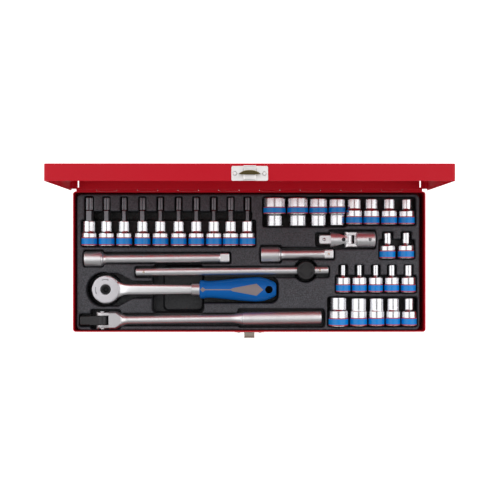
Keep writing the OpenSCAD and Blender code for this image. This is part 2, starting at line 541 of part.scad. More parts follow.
case_base();
insert_tray();
lid();
hinge_base_leaf();
hinge_lid_leaf();
hinge_pin();
latch_plate();
latch_rivets();
latch_lever();
latch_pin();
catch_bracket();
catch_rivets();
ratchet_body();
ratchet_gear();
ratchet_dial();
ratchet_button();
ratchet_pawl();
ratchet_grip();
ratchet_grip_inlay();
flex_handle_bar();
flex_drive_head();
flex_pivot_pin();
sliding_bar();
sliding_head();
extension_long();
extension_short();
ujoint_drive_yoke();
ujoint_socket_yoke();
ujoint_cross();
ujoint_pins();
color(CH) big_socket(SA[0]);  // socket_a1
color(CH) big_socket(SA[1]);  // socket_a2
color(CH) big_socket(SA[2]);  // socket_a3
color(CH) big_socket(SA[3]);  // socket_a4
color(CH) small_socket(SB[0]);  // socket_a5
color(CH) small_socket(SB[1]);  // socket_a6
color(CH) small_socket(SB[2]);  // socket_a7
color(CH) small_socket(SB[3]);  // socket_a8
color(CH) small_socket(SB[4]);  // socket_b1
color(CH) small_socket(SB[5]);  // socket_b2
color(CH) small_socket(SB[6]);  // socket_c1
color(CH) small_socket(SB[7]);  // socket_c2
color(CH) small_socket(SB[8]);  // socket_c3
color(CH) small_socket(SB[9]);  // socket_c4
color(CH) small_socket(SB[10]);  // socket_c5
color(CH) small_socket(SB[11]);  // socket_d1
color(CH) small_socket(SB[12]);  // socket_d2
color(CH) small_socket(SB[13]);  // socket_d3
color(CH) small_socket(SB[14]);  // socket_d4
color(CH) small_socket(SB[15]);  // socket_d5
color(CH) bit_socket(BX[0]);  // bit_socket_1
color(CH) bit_socket(BX[1]);  // bit_socket_2
color(CH) bit_socket(BX[2]);  // bit_socket_3
color(CH) bit_socket(BX[3]);  // bit_socket_4
color(CH) bit_socket(BX[4]);  // bit_socket_5
color(CH) bit_socket(BX[5]);  // bit_socket_6
color(CH) bit_socket(BX[6]);  // bit_socket_7
color(CH) bit_socket(BX[7]);  // bit_socket_8
color(CH) bit_socket(BX[8]);  // bit_socket_9
color(CH) bit_socket(BX[9]);  // bit_socket_10
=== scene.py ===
import bpy, bmesh, math, json
import numpy as np
from mathutils import Vector, Matrix


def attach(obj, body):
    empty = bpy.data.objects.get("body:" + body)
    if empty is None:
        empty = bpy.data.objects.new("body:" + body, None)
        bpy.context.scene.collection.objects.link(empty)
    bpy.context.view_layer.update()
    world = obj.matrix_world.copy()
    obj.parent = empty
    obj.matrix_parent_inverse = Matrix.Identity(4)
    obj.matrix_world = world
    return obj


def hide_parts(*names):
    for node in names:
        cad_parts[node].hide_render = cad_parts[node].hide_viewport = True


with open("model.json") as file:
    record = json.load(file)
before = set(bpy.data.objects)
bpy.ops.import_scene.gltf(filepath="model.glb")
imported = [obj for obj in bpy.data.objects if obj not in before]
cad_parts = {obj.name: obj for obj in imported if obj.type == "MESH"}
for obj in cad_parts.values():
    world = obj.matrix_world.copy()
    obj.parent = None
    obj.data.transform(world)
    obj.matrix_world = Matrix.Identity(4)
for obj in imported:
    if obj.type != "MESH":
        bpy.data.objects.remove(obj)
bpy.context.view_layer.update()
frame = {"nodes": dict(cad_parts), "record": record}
NODES = frame["nodes"]
SLOT_OF = {s["node"]: s["material_slot"] for s in frame["record"]["subparts"]}
MM = 0.001
AZ = 23.5          # height of the tools' axes, mm
BODY_OF = {}
for _b, _ns in frame["record"]["behaviour"]["bodies"].items():
    for _n in _ns:
        BODY_OF[_n] = _b

# ------------------------------------------------------------------ camera
cam_d = bpy.data.cameras.new("cam")
cam = bpy.data.objects.new("cam", cam_d)
bpy.context.scene.collection.objects.link(cam)
cam_d.sensor_fit = "HORIZONTAL"
cam_d.sensor_width = 36.0
F_PX = 1049.0
cam_d.lens = F_PX / 500.0 * 36.0
cam_d.clip_start, cam_d.clip_end = 0.05, 20
cam.location = (-0.0025, 0.0092, 1.111)
aim = Vector((3.1 / F_PX, 2.7 / F_PX, -1.0)).normalized()
z_ax = -aim
x_ax = Vector((0, 1, 0)).cross(z_ax).normalized()
y_ax = z_ax.cross(x_ax)
cam.rotation_euler = Matrix((x_ax, y_ax, z_ax)).transposed().to_euler()
bpy.context.scene.camera = cam

# ------------------------------------------------------------------ materials
def new_mat(name):
    m = bpy.data.materials.new(name)
    m.use_nodes = True
    nt = m.node_tree
    bs = nt.nodes["Principled BSDF"]
    return m, nt, bs

def node(nt, kind, **kw):
    n = nt.nodes.new(kind)
    for k, v in kw.items():
        if k.startswith("in_"):
            n.inputs[k[3:].replace("_", " ")].default_value = v
        else:
            setattr(n, k, v)
    return n

def coords(nt, scale=(1, 1, 1)):
    tc = nt.nodes.new("ShaderNodeTexCoord")
    mp = nt.nodes.new("ShaderNodeMapping")
    mp.inputs["Scale"].default_value = scale
    nt.links.new(tc.outputs["Object"], mp.inputs["Vector"])
    return mp.outputs["Vector"]

def noise(nt, vec, scale, detail=3.0, rough=0.5):
    n = nt.nodes.new("ShaderNodeTexNoise")
    n.inputs["Scale"].default_value = scale
    n.inputs["Detail"].default_value = detail
    n.inputs["Roughness"].default_value = rough
    nt.links.new(vec, n.inputs["Vector"])
    return n.outputs["Fac"]

def ramp(nt, fac, stops):
    r = nt.nodes.new("ShaderNodeValToRGB")
    el = r.color_ramp.elements
    while len(el) > 1:
        el.remove(el[-1])
    el[0].position, el[0].color = stops[0][0], (*stops[0][1], 1)
    for p, c in stops[1:]:
        e = el.new(p)
        e.color = (*c, 1)
    nt.links.new(fac, r.inputs["Fac"])
    return r.outputs["Color"]

def rng(nt, fac, a, b, lo=0.0, hi=1.0):
    r = nt.nodes.new("ShaderNodeMapRange")
    r.inputs["From Min"].default_value = lo
    r.inputs["From Max"].default_value = hi
    r.inputs["To Min"].default_value = a
    r.inputs["To Max"].default_value = b
    nt.links.new(fac, r.inputs["Value"])
    return r.outputs["Result"]

def bump(nt, bs, height, strength, dist):
    b = nt.nodes.new("ShaderNodeBump")
    b.inputs["Strength"].default_value = strength
    b.inputs["Distance"].default_value = dist
    nt.links.new(height, b.inputs["Height"])
    nt.links.new(b.outputs["Normal"], bs.inputs["Normal"])

def mixc(nt, fac, a, b):
    m = nt.nodes.new("ShaderNodeMix")
    m.data_type = "RGBA"
    if isinstance(fac, (int, float)):
        m.inputs[0].default_value = fac
    else:
        nt.links.new(fac, m.inputs[0])
    for i, c in ((6, a), (7, b)):
        if isinstance(c, tuple):
            m.inputs[i].default_value = (*c, 1)
        else:
            nt.links.new(c, m.inputs[i])
    return m.outputs[2]

def math_node(nt, op, a, b=None):
    m = nt.nodes.new("ShaderNodeMath")
    m.operation = op
    for i, v in enumerate((a, b)):
        if v is None:
            continue
        if isinstance(v, (int, float)):
            m.inputs[i].default_value = v
        else:
            nt.links.new(v, m.inputs[i])
    return m.outputs[0]

def enamel(name, base, dark, rough=0.28, peel=0.05, coat=0.08, spec=0.35):
    m, nt, bs = new_mat(name)
    v = coords(nt)
    big = noise(nt, v, 9, 3)
    fine = noise(nt, v, 900, 2)
    nt.links.new(ramp(nt, big, [(0.3, dark), (0.7, base)]), bs.inputs["Base Color"])
    nt.links.new(rng(nt, noise(nt, v, 60, 4), rough - 0.04, rough + 0.08, 0.3, 0.7), bs.inputs["Roughness"])
    bump(nt, bs, noise(nt, v, 450, 2), peel, 0.0002)
    bs.inputs["Coat Weight"].default_value = coat
    bs.inputs["Coat Roughness"].default_value = 0.1
    bs.inputs["Specular IOR Level"].default_value = spec
    bs.inputs["IOR"].default_value = 1.5
    return m

def metal(name, base, rough, var=0.06, streak=None, bumpy=0.0, bscale=1500.0, tint=None, metallic=1.0):
    m, nt, bs = new_mat(name)
    v = coords(nt)
    vs = coords(nt, streak) if streak else v
    big = noise(nt, v, 40, 4)
    lo = tuple(c * (1 - var) for c in base) if tint is None else tint
    nt.links.new(ramp(nt, big, [(0.3, lo), (0.65, base)]), bs.inputs["Base Color"])
    st = noise(nt, vs, 220, 4, 0.6)
    nt.links.new(rng(nt, st, max(rough - 0.05, 0.02), rough + 0.07, 0.3, 0.7), bs.inputs["Roughness"])
    bs.inputs["Metallic"].default_value = metallic
    if bumpy:
        bump(nt, bs, noise(nt, vs, bscale, 3), bumpy, 0.0001)
    return m

def plastic(name, base, dark, rough, grain=0.0, gscale=900.0, spec=0.5):
    m, nt, bs = new_mat(name)
    v = coords(nt)
    nt.links.new(ramp(nt, noise(nt, v, 25, 4), [(0.3, dark), (0.7, base)]), bs.inputs["Base Color"])
    nt.links.new(rng(nt, noise(nt, v, 130, 3), rough - 0.05, rough + 0.06, 0.3, 0.7), bs.inputs["Roughness"])
    bs.inputs["Specular IOR Level"].default_value = spec
    if grain:
        vor = nt.nodes.new("ShaderNodeTexVoronoi")
        vor.inputs["Scale"].default_value = gscale
        nt.links.new(v, vor.inputs["Vector"])
        bump(nt, bs, vor.outputs["Distance"], grain, 0.0004)
    return m

M = {}
M["red"] = enamel("red_enamel", (0.60, 0.006, 0.020), (0.56, 0.005, 0.017), 0.36, 0.05, 0.02, 0.16)
M["chrome"] = metal("mirror_chrome", (0.74, 0.74, 0.765), 0.22, 0.03, None, 0.0, 700)
M["satin"] = metal("satin_chrome", (0.84, 0.835, 0.85), 0.38, 0.05, (3, 40, 40), 0.05, 1200)
M["satin_bright"] = metal("satin_bright", (0.90, 0.895, 0.91), 0.32, 0.02, (6, 30, 30), 0.0, 1200)
M["satin_fork"] = metal("satin_fork", (0.56, 0.55, 0.56), 0.42, 0.05, (3, 40, 40), 0.05, 1200)
M["disc"] = metal("blasted_chrome", (0.66, 0.65, 0.68), 0.50, 0.05, None, 0.12, 2600)
M["black_ox"] = metal("black_phosphate", (0.034, 0.033, 0.035), 0.40, 0.3, None, 0.25, 2400, metallic=0.45)
M["gear"] = metal("gear_steel", (0.50, 0.49, 0.48), 0.33, 0.1, None, 0.06)
M["nickel"] = metal("nickel", (0.93, 0.905, 0.895), 0.42, 0.04, None, 0.06, 900)
M["catch"] = metal("dull_nickel", (0.46, 0.41, 0.35), 0.40, 0.1, None, 0.1, 900)
# brass colour with painted shade: the latch lever's lip, web and the strap's back and sides are made dark
M["brass"] = metal("brass_painted_shade", (0.17, 0.135, 0.055), 0.42, 0.2, None, 0.1, 900)
# lighter copy of the brass: a painted highlight along the top band of the lip's front
M["brass_edge"] = metal("brass_painted_highlight", (0.42, 0.33, 0.12), 0.35, 0.2, None, 0.1, 900)
M["bit"] = metal("bit_steel", (0.20, 0.20, 0.215), 0.33, 0.2, None, 0.15, 1800)
M["pin"] = metal("pin_steel", (0.22, 0.20, 0.21), 0.45, 0.1)
M["dark_pin"] = metal("dark_pin", (0.045, 0.045, 0.05), 0.35, 0.1)
M["ball"] = metal("ball_steel", (0.80, 0.72, 0.60), 0.15, 0.05)
M["blue_band"] = enamel("blue_band", (0.0, 0.27, 0.80), (0.0, 0.25, 0.74), 0.30, 0.02)
M["red_band"] = enamel("red_band", (0.50, 0.035, 0.07), (0.45, 0.03, 0.06), 0.30, 0.02)
M["grip"] = plastic("grip_blue", (0.0, 0.135, 0.50), (0.0, 0.118, 0.44), 0.40, 0.08, 1500, 0.25)
M["inlay"] = plastic("grip_grey", (0.30, 0.26, 0.265), (0.26, 0.23, 0.235), 0.60, 0.2, 1300, 0.3)
M["button"] = plastic("button_black", (0.006, 0.006, 0.007), (0.004, 0.004, 0.005), 0.30, 0.1, 1500, 0.2)
M["button_rim"] = plastic("button_rim", (0.035, 0.035, 0.04), (0.025, 0.025, 0.03), 0.3, 0.1, 1500, 0.3)
# dark metal: the dial's engraved arrows, and painted shade in the gaps round the balls, the extension's groove and the
# bottom of its drive hole
M["engrave"] = metal("engraving_and_painted_shade", (0.22, 0.21, 0.23), 0.5, 0.1, None, 0.1)
def grained(name):
    """vacuum-formed black sheet: leather grain, with a fine painted speckle of light on it, and painted shade that
    darkens it with depth below its top
    """
    m, nt, bs = new_mat(name)
    v = coords(nt)
    big = ramp(nt, noise(nt, v, 14, 4), [(0.3, (0.036, 0.037, 0.045)), (0.7, (0.050, 0.051, 0.061))])
    sep = nt.nodes.new("ShaderNodeSeparateXYZ")
    nt.links.new(v, sep.inputs[0])
    # painted shade: the colour darkens with height below the top, so the pockets' walls and the narrow slots between
    # the tools read almost black
    painted_depth_shade = ramp(nt, rng(nt, sep.outputs["Z"], 0.0, 1.0, 0.0, 0.030),
                [(0.24, (0.36,) * 3), (0.29, (0.07,) * 3), (0.37, (0.08,) * 3), (0.44, (0.28,) * 3), (0.62, (0.42,) * 3), (0.84, (0.72,) * 3), (0.895, (1.0,) * 3)])
    # the fine speckle is scaled by the painted depth shade
    fine = math_node(nt, "MULTIPLY", rng(nt, noise(nt, v, 950, 2, 0.6), 0.45, 1.6, 0.36, 0.66), painted_depth_shade)
    mul = nt.nodes.new("ShaderNodeVectorMath")
    mul.operation = "SCALE"
    nt.links.new(big, mul.inputs[0])
    nt.links.new(fine, mul.inputs["Scale"])
    nt.links.new(mul.outputs[0], bs.inputs["Base Color"])
    nt.links.new(rng(nt, noise(nt, v, 500, 3), 0.42, 0.62, 0.35, 0.65), bs.inputs["Roughness"])
    bs.inputs["Specular IOR Level"].default_value = 0.5
    vor = nt.nodes.new("ShaderNodeTexVoronoi")
    vor.inputs["Scale"].default_value = 1300
    nt.links.new(v, vor.inputs["Vector"])
    bump(nt, bs, vor.outputs["Distance"], 0.45, 0.0003)
    return m
M["tray"] = grained("grained_black_painted_shade")

def put(o, m):
    o.data.materials.clear()
    o.data.materials.append(m)

CAD_MAT = {"red_enamel": "red", "black_tray": "tray", "nickel": "nickel", "catch_nickel": "catch", "hinge_steel": "pin", "satin_chrome": "satin",
           "mirror_chrome": "chrome", "black_oxide": "black_ox", "gear_steel": "gear", "button_black": "button", "grip_blue": "grip", "grip_grey": "inlay"}
BEVEL = {"case_base": 0.30, "lid": 0.28, "latch_plate": 0.2, "latch_lever": 0.2, "catch_bracket": 0.22,
         "flex_handle_bar": 0.35, "flex_drive_head": 0.4, "ujoint_drive_yoke": 0.3, "ujoint_socket_yoke": 0.3, "ujoint_cross": 0.3, "ratchet_body": 0.4,
         "sliding_head": 0.35, "ratchet_gear": 0.15, "ratchet_dial": 0.25}
for name, o in NODES.items():
    put(o, M["dark_pin" if name == "ujoint_pins" else CAD_MAT[SLOT_OF[name]]])
    for p in o.data.polygons:
        p.use_smooth = True
    o.data.set_sharp_from_angle(angle=math.radians(32))
    if name in BEVEL:
        b = o.modifiers.new("edge", "BEVEL")
        b.width = BEVEL[name] * MM
        b.segments = 2
        b.limit_method = "ANGLE"
        b.angle_limit = math.radians(32)
        b.harden_normals = False

# ------------------------------------------------------------------ mesh helpers
def make_obj(name, verts, faces, mats, mat_idx=None, sharp=34, smooth=True):
    me = bpy.data.meshes.new(name)
    me.from_pydata([tuple(v) for v in verts], [], [tuple(f) for f in faces])
    for m in mats:
        me.materials.append(m)
    if mat_idx is not None:
        me.polygons.foreach_set("material_index", np.array(mat_idx, dtype=np.int32))
    me.polygons.foreach_set("use_smooth", [smooth] * len(me.polygons))
    me.validate(clean_customdata=False)
    me.update()
    if smooth:
        me.set_sharp_from_angle(angle=math.radians(sharp))
    o = bpy.data.objects.new(name, me)
    bpy.context.scene.collection.objects.link(o)
    return o

def circ(r):
    return lambda a: r
def ngon(n, af, turn=0.0, r_max=None):
    """radius at an angle of a regular polygon with flat-to-flat width af"""
    def f(a):
        s = 2 * math.pi / n
        t = (a - turn) % s - s / 2
        r = af / 2 / math.cos(t)
        return min(r, r_max) if r_max else r
    return f

NS = 72
def lerp_f(f, g, t):
    return lambda a: f(a) * (1 - t) + g(a) * t
def support(rings, d=0.12):
    """adds a ring close to both ends of every long band, so that its shading stays true and only the edges roll over"""
    out = []
    for i, (t, r, m) in enumerate(rings):
        f = r if callable(r) else circ(r)
        out.append((t, f, m))
        if i + 1 < len(rings):
            t2, r2, _m = rings[i + 1]
            g = r2 if callable(r2) else circ(r2)
            L = math.hypot(t2 - t, g(0.3) - f(0.3))
            if L > 5 * d:
                q = d / L
                out.append((t + (t2 - t) * q, lerp_f(f, g, q), m))
                out.append((t + (t2 - t) * (1 - q), lerp_f(f, g, 1 - q), m))
    return out
def ring_solid(name, rings, mats, axis="Y", origin=(0, 0, 0), rot=0.0, n=NS, sharp=34, caps=(True, True)):
    """rings: [t along the axis, radius function or number, material index of the band up to the next ring]; millimetres"""
    verts, faces, idx = [], [], []
    rings = support(rings)
    for t, r, mi in rings:
        f = r if callable(r) else circ(r)
        for k in range(n):
            a = 2 * math.pi * k / n
            q = f(a)
            u, w = q * math.cos(a), q * math.sin(a)
            if axis == "Y":
                verts.append((u, t, w))
            elif axis == "X":
                verts.append((t, u, w))
            else:
                verts.append((u, w, t))
    flip = axis == "Y"
    for i in range(len(rings) - 1):
        mi = rings[i][2]
        for k in range(n):
            a, b = i * n + k, i * n + (k + 1) % n
            c, d = b + n, a + n
            faces.append((a, d, c, b) if (axis == "Y") else (a, b, c, d))
            idx.append(mi)
    m = len(rings)
    if caps[0]:
        f = [k for k in range(n)]
        faces.append(f if axis == "Y" else f[::-1])
        idx.append(rings[0][2])
    if caps[1]:
        f = [(m - 1) * n + k for k in range(n)]
        faces.append(f[::-1] if axis == "Y" else f)
        idx.append(rings[-1][2])
    R = Matrix.Rotation(rot, 4, "Z")
    out = []
    for v in verts:
        p = R @ Vector(v)
        out.append(((p.x + origin[0]) * MM, (p.y + origin[1]) * MM, (p.z + origin[2]) * MM))
    o = make_obj(name, out, faces, mats, idx, sharp)
    bm = bmesh.new()
    bm.from_mesh(o.data)
    bmesh.ops.recalc_face_normals(bm, faces=bm.faces)
    bm.to_mesh(o.data)
    bm.free()
    return o

def stand_for(o, *nodes):
    """o rides with the CAD nodes that it replaces"""
    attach(o, BODY_OF[nodes[0]])
    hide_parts(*nodes)
    return o

def with_cad(o, like):
    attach(o, BODY_OF[like])
    return o

# ------------------------------------------------------------------ sockets
SA = [[26.1, 66.0, 29.4, 11.7, 17.2, 8.6], [50.1, 66.0, 29.3, 10.9, 17, 8.9], [71.5, 65.3, 28.6, 9.45, 16.4, 8.2], [90.9, 64.8, 27.4, 8.7, 15.6, 7.7]]
SB = [[108.7, 64.9, 26.6, 8.55, 7.2, 10.4], [126.5, 64.8, 26.5, 8.4, 6.75, 10.4], [144.9, 64.8, 26.6, 8.4, 6.15, 10.4], [163.0, 64.5, 26.3, 8.4, 5.35, 10.4],
      [143.1, 29.6, 26.6, 8.4, 4.3, 11.3], [162.4, 29.9, 26.7, 8.5, 4.05, 11.3],
      [97.2, -3.5, 28.4, 7.75, 2.75, 10.9], [114.0, -3.5, 28.4, 7.7, 2.95, 10.9], [130.9, -3.5, 28.4, 7.6, 3.2, 10.9], [147.6, -3.6, 28.2, 7.7, 3.6, 10.9], [164.8, -3.7, 28.3, 7.8, 4.3, 10.9],
      [92.3, -37.2, 29.6, 10.35, 8.8, 12.2], [113.2, -37.9, 28.7, 8.95, 8.25, 11.8], [131.8, -38.0, 28.5, 8.3, 7.5, 11.7], [148.9, -38.1, 28.3, 7.65, 6.5, 11.7], [165.6, -38.1, 28.4, 8.1, 4.95, 11.7]]
BX = [[-165.7, 6.9, 8], [-147.8, 6.05, 6.6], [-129.65, 6.05, 5.2], [-110.7, 6.05, 6.6], [-92.15, 6.05, 5], [-73.2, 6.05, 5.4], [-54.95, 6.05, 5.4], [-36.8, 6.05, 4.6], [-19.35, 6.05, 6.4], [-2.0, 6.05, 4.8]]
NAMES = ["a1", "a2", "a3", "a4", "a5", "a6", "a7", "a8", "b1", "b2", "c1", "c2", "c3", "c4", "c5", "d1", "d2", "d3", "d4", "d5"]
SQ = 9.6
CH, BL, RD, DK = 0, 1, 2, 3
sock_mats = [M["chrome"], M["blue_band"], M["red_band"], M["satin"]]
def hex_af(r):
    return 2 * (r - (1.35 if r > 5 else 0.95)) * math.cos(math.pi / 6)

def fillet(t, r, dt, dr, steps=3, out=True):
    """points that round the corner at (t, r) by dt along and dr in radius"""
    pts = []
    for i in range(steps + 1):
        a = math.pi / 2 * i / steps
        pts.append((t + dt * (1 - math.cos(a)), r - dr * (1 - math.sin(a))) if out else (t + dt * (1 - math.cos(a)), r + dr * (1 - math.sin(a))))
    return pts

def band(rings, ta, tb, r, lines=True):
    """a blue enamelled band between two red lines, sunk a little into the metal"""
    g = 0.10
    seq = [(ta, r, CH), (ta + 0.02, r - g, RD), (ta + 0.95, r - g, RD), (ta + 0.97, r - g + 0.03, BL), (tb - 0.97, r - g + 0.03, BL), (tb - 0.95, r - g, RD), (tb - 0.02, r - g, RD), (tb, r, CH)]
    rings += [(t, circ(q), m) for t, q, m in seq]

def drive_mouth(t0, d, depth, step=1):
    """rings from the end face at t0 into the square hole; d is +1 or -1, the way in"""
    return [(t0 + d * 0.0, circ(6.75), DK), (t0 + d * 0.9, ngon(4, SQ + 0.5, math.pi / 4, 6.3), DK), (t0 + d * 1.6, ngon(4, SQ, math.pi / 4, 6.6), DK), (t0 + d * depth, ngon(4, SQ, math.pi / 4, 6.6), DK)]

def hex_mouth(t0, d, af, depth):
    R = af / 2 / math.cos(math.pi / 6)
    return [(t0, circ(R + 0.25), DK), (t0 + d * 0.7, ngon(6, af + 0.15, 0), DK), (t0 + d * 1.0, ngon(6, af, 0), DK), (t0 + d * depth, ngon(6, af, 0), DK)]

def big_socket(nm, p):
    x, yb, L, wr, wl, nr = p
    y0 = yb - L
    af = hex_af(wr)
    r = []
    # inside: from the wall between the two recesses out to the drive mouth
    inner = [(y0 + 10.8, circ(3.2), DK)] + [(t, f, m) for t, f, m in reversed(drive_mouth(y0, 1, 10.8))]
    r += inner
    r += [(y0, circ(nr - 0.75), CH), (y0 + 0.22, circ(nr - 0.28), CH), (y0 + 0.7, circ(nr), CH)]
    s = L - wl
    r += [(y0 + 1.9, circ(nr), CH), (y0 + 1.95, circ(nr - 0.12), CH), (y0 + 2.5, circ(nr - 0.12), CH), (y0 + 2.55, circ(nr), CH)]
    r += [(y0 + s - 1.7, circ(nr), CH), (y0 + s - 0.7, circ(nr + (wr - nr) * 0.25), CH), (y0 + s, circ(nr + (wr - nr) * 0.75), CH), (y0 + s + 0.45, circ(wr), CH)]
    ta = y0 + s + 0.7
    band(r, ta, ta + 7.0, wr)
    r += [(y0 + L - 0.8, circ(wr), CH), (y0 + L - 0.3, circ(wr - 0.15), CH), (y0 + L, circ(wr - 0.6), CH)]
    r += [(t, f, m) for t, f, m in hex_mouth(y0 + L, -1, af, wl - 2.5)]
    r += [(y0 + L - wl + 2.4, circ(3.2), DK)]
    return build_socket(nm, r, x)

def small_socket(nm, p):
    x, yb, L, dr, hr, hl = p
    y0 = yb - L
    s = min(hr, dr)
    af = hex_af(s)
    core = min(3.0, af / 2 - 0.15)
    r = [(y0 + 10.8, circ(core), DK)] + [(t, f, m) for t, f, m in reversed(drive_mouth(y0, 1, 10.8))]
    r += [(y0, circ(dr - 0.75), CH), (y0 + 0.22, circ(dr - 0.28), CH), (y0 + 0.62, circ(dr), CH)]
    band(r, y0 + 0.75, y0 + 8.6, dr)
    t_sh = y0 + L - hl
    gap = dr - s
    r += [(t_sh - 1.75 - gap * 0.2, circ(dr), CH), (t_sh - 1.35 - gap * 0.2, circ(dr - 0.12), CH), (t_sh - 1.0 - gap * 0.15, circ(dr - 0.45), CH),
          (t_sh - 0.35, circ(s + gap * 0.18), CH), (t_sh + 0.15, circ(s + gap * 0.04), CH), (t_sh + 0.7, circ(s), CH)]
    r += [(y0 + L - 0.65, circ(s), CH), (y0 + L - 0.22, circ(s - 0.12), CH), (y0 + L, circ(s - 0.45), CH)]
    r += [(t, f, m) for t, f, m in hex_mouth(y0 + L, -1, af, hl - 1)]
    r += [(y0 + L - hl + 1, circ(core), DK)]
    return build_socket(nm, r, x)

def build_socket(nm, r, x):
    n = NS
    r = support(r)
    verts, faces, idx = [], [], []
    for t, f, mi in r:
        for k in range(n):
            a = 2 * math.pi * k / n
            q = f(a)
            verts.append(((x + q * math.cos(a)) * MM, t * MM, (AZ + q * math.sin(a)) * MM))
    for i in range(len(r) - 1):
        for k in range(n):
            a, b = i * n + k, i * n + (k + 1) % n
            faces.append((a, a + n, b + n, b))
            idx.append(r[i][2])
    # the bore joins the two recesses
    m = len(r) - 1
    for k in range(n):
        a, b = m * n + k, m * n + (k + 1) % n
        faces.append((a, k, (k + 1) % n, b))
        idx.append(DK)
    o = make_obj(nm + "_detail", verts, faces, sock_mats, idx, 30)
    bm = bmesh.new()
    bm.from_mesh(o.data)
    bmesh.ops.remove_doubles(bm, verts=bm.verts, dist=1e-7)
    bmesh.ops.recalc_face_normals(bm, faces=bm.faces)
    bm.to_mesh(o.data)
    bm.free()
    return stand_for(o, nm)

for i, p in enumerate(SA):
    big_socket("socket_" + NAMES[i], p)
for i, p in enumerate(SB):
    small_socket("socket_" + NAMES[4 + i], p)

# bit sockets: chrome body, steel bit with six lobes
def lobed(w):
    def f(a):
        return w / 2 * (0.79 + 0.21 * math.cos(6 * a))
    return f

def bit_socket(i, p):
    x, nr, w = p
    nm = "bit_socket_%d" % (i + 1)
    y0, y1 = 16.2, 66.5
    dr = 8.3
    hexw = w * 1.08
    r = [(y0 + 11.2, circ(0.05), DK), (y0 + 11.15, circ(3.0), DK)] + [(t, f, m) for t, f, m in reversed(drive_mouth(y0, 1, 11.0))]
    r += [(y0, circ(dr - 0.75), CH), (y0 + 0.22, circ(dr - 0.28), CH), (y0 + 0.6, circ(dr), CH)]
    band(r, y0 + 0.8, y0 + 8.9, dr)
    r += [(28.9, circ(dr), CH), (29.5, circ(dr - 0.15), CH), (30.3, circ(nr + (dr - nr) * 0.45), CH), (31.0, circ(nr + 0.12), CH), (31.7, circ(nr), CH)]
    r += [(41.2, circ(nr), CH), (41.7, circ(nr - 0.15), CH), (42.0, circ(nr - 0.6), CH), (42.0, circ(hexw / 2 / math.cos(math.pi / 6) + 0.15), 4),
          (42.0, ngon(6, hexw, 0), 4), (52.3, ngon(6, hexw, 0), 4), (53.6, lobed(w * 1.02), 4), (y1 - 0.8, lobed(w), 4), (y1, lobed(w * 0.86), 4), (y1, circ(0.05), 4)]
    n = NS
    r = support(r)
    verts, faces, idx = [], [], []
    for t, f, mi in r:
        for k in range(n):
            a = 2 * math.pi * k / n
            q = f(a)
            verts.append(((x + q * math.cos(a)) * MM, t * MM, (AZ + q * math.sin(a)) * MM))
    for j in range(len(r) - 1):
        for k in range(n):
            a, b = j * n + k, j * n + (k + 1) % n
            faces.append((a, a + n, b + n, b))
            idx.append(r[j][2])
    faces.append([k for k in range(n)]); idx.append(DK)
    faces.append([(len(r) - 1) * n + k for k in range(n)][::-1]); idx.append(4)
    o = make_obj(nm + "_detail", verts, faces, sock_mats + [M["bit"]], idx, 30)
    bm = bmesh.new()
    bm.from_mesh(o.data)
    bmesh.ops.recalc_face_normals(bm, faces=bm.faces)
    bm.to_mesh(o.data)
    bm.free()
    return stand_for(o, nm)

for i, p in enumerate(BX):
    bit_socket(i, p)

# ------------------------------------------------------------------ long tools
def rr_section(hw, hh, r, k=8):
    """points of a rounded rectangle in (y, z), anticlockwise"""
    r = min(r, hw - 1e-3, hh - 1e-3)
    pts = []
    for cx, cz, a0 in ((hw - r, hh - r, 0), (-hw + r, hh - r, 90), (-hw + r, -hh + r, 180), (hw - r, -hh + r, 270)):
        for i in range(k):
            a = math.radians(a0 + 90 * i / (k - 1))
            pts.append((cx + r * math.cos(a), cz + r * math.sin(a)))
    return pts

def loft_x(name, secs, mats, origin=(0, 0, 0), rot=0.0, idx=None, sharp=34, caps=(True, True)):
    """secs: [(x, [(y, z), ...])], all with as many points"""
    n = len(secs[0][1])
    verts, faces, mi = [], [], []
    R = Matrix.Rotation(rot, 4, "Z")
    for x, pts in secs:
        for y, z in pts:
            p = R @ Vector((x, y, z))
            verts.append(((p.x + origin[0]) * MM, (p.y + origin[1]) * MM, (p.z + origin[2]) * MM))
    for i in range(len(secs) - 1):
        for k in range(n):
            a, b = i * n + k, i * n + (k + 1) % n
            faces.append((a, b, b + n, a + n))
            mi.append(idx(secs[i][0], secs[i][1][k]) if idx else 0)
    if caps[0]:
        faces.append([k for k in range(n)][::-1]); mi.append(0)
    if caps[1]:
        faces.append([(len(secs) - 1) * n + k for k in range(n)]); mi.append(0)
    o = make_obj(name, verts, faces, mats, mi, sharp)
    bm = bmesh.new()
    bm.from_mesh(o.data)
    bmesh.ops.recalc_face_normals(bm, faces=bm.faces)
    bm.to_mesh(o.data)
    bm.free()
    return o

def join(name, objs):
    """one mesh out of several, each part staying a closed shell of its own"""
    bm = bmesh.new()
    mats = []
    for o in objs:
        me = o.data
        base = {}
        for i, m in enumerate(me.materials):
            if m not in mats:
                mats.append(m)
            base[i] = mats.index(m)
        tmp = bmesh.new()
        tmp.from_mesh(me)
        for f in tmp.faces:
            f.material_index = base.get(f.material_index, 0)
        t2 = bpy.data.meshes.new("tmp")
        tmp.to_mesh(t2)
        tmp.free()
        bm.from_mesh(t2)
        bpy.data.meshes.remove(t2)
    me = bpy.data.meshes.new(name)
    bm.to_mesh(me)
    bm.free()
    for m in mats:
        me.materials.append(m)
    out = bpy.data.objects.new(name, me)
    bpy.context.scene.collection.objects.link(out)
    for o in objs:
        bpy.data.objects.remove(o)
    return out

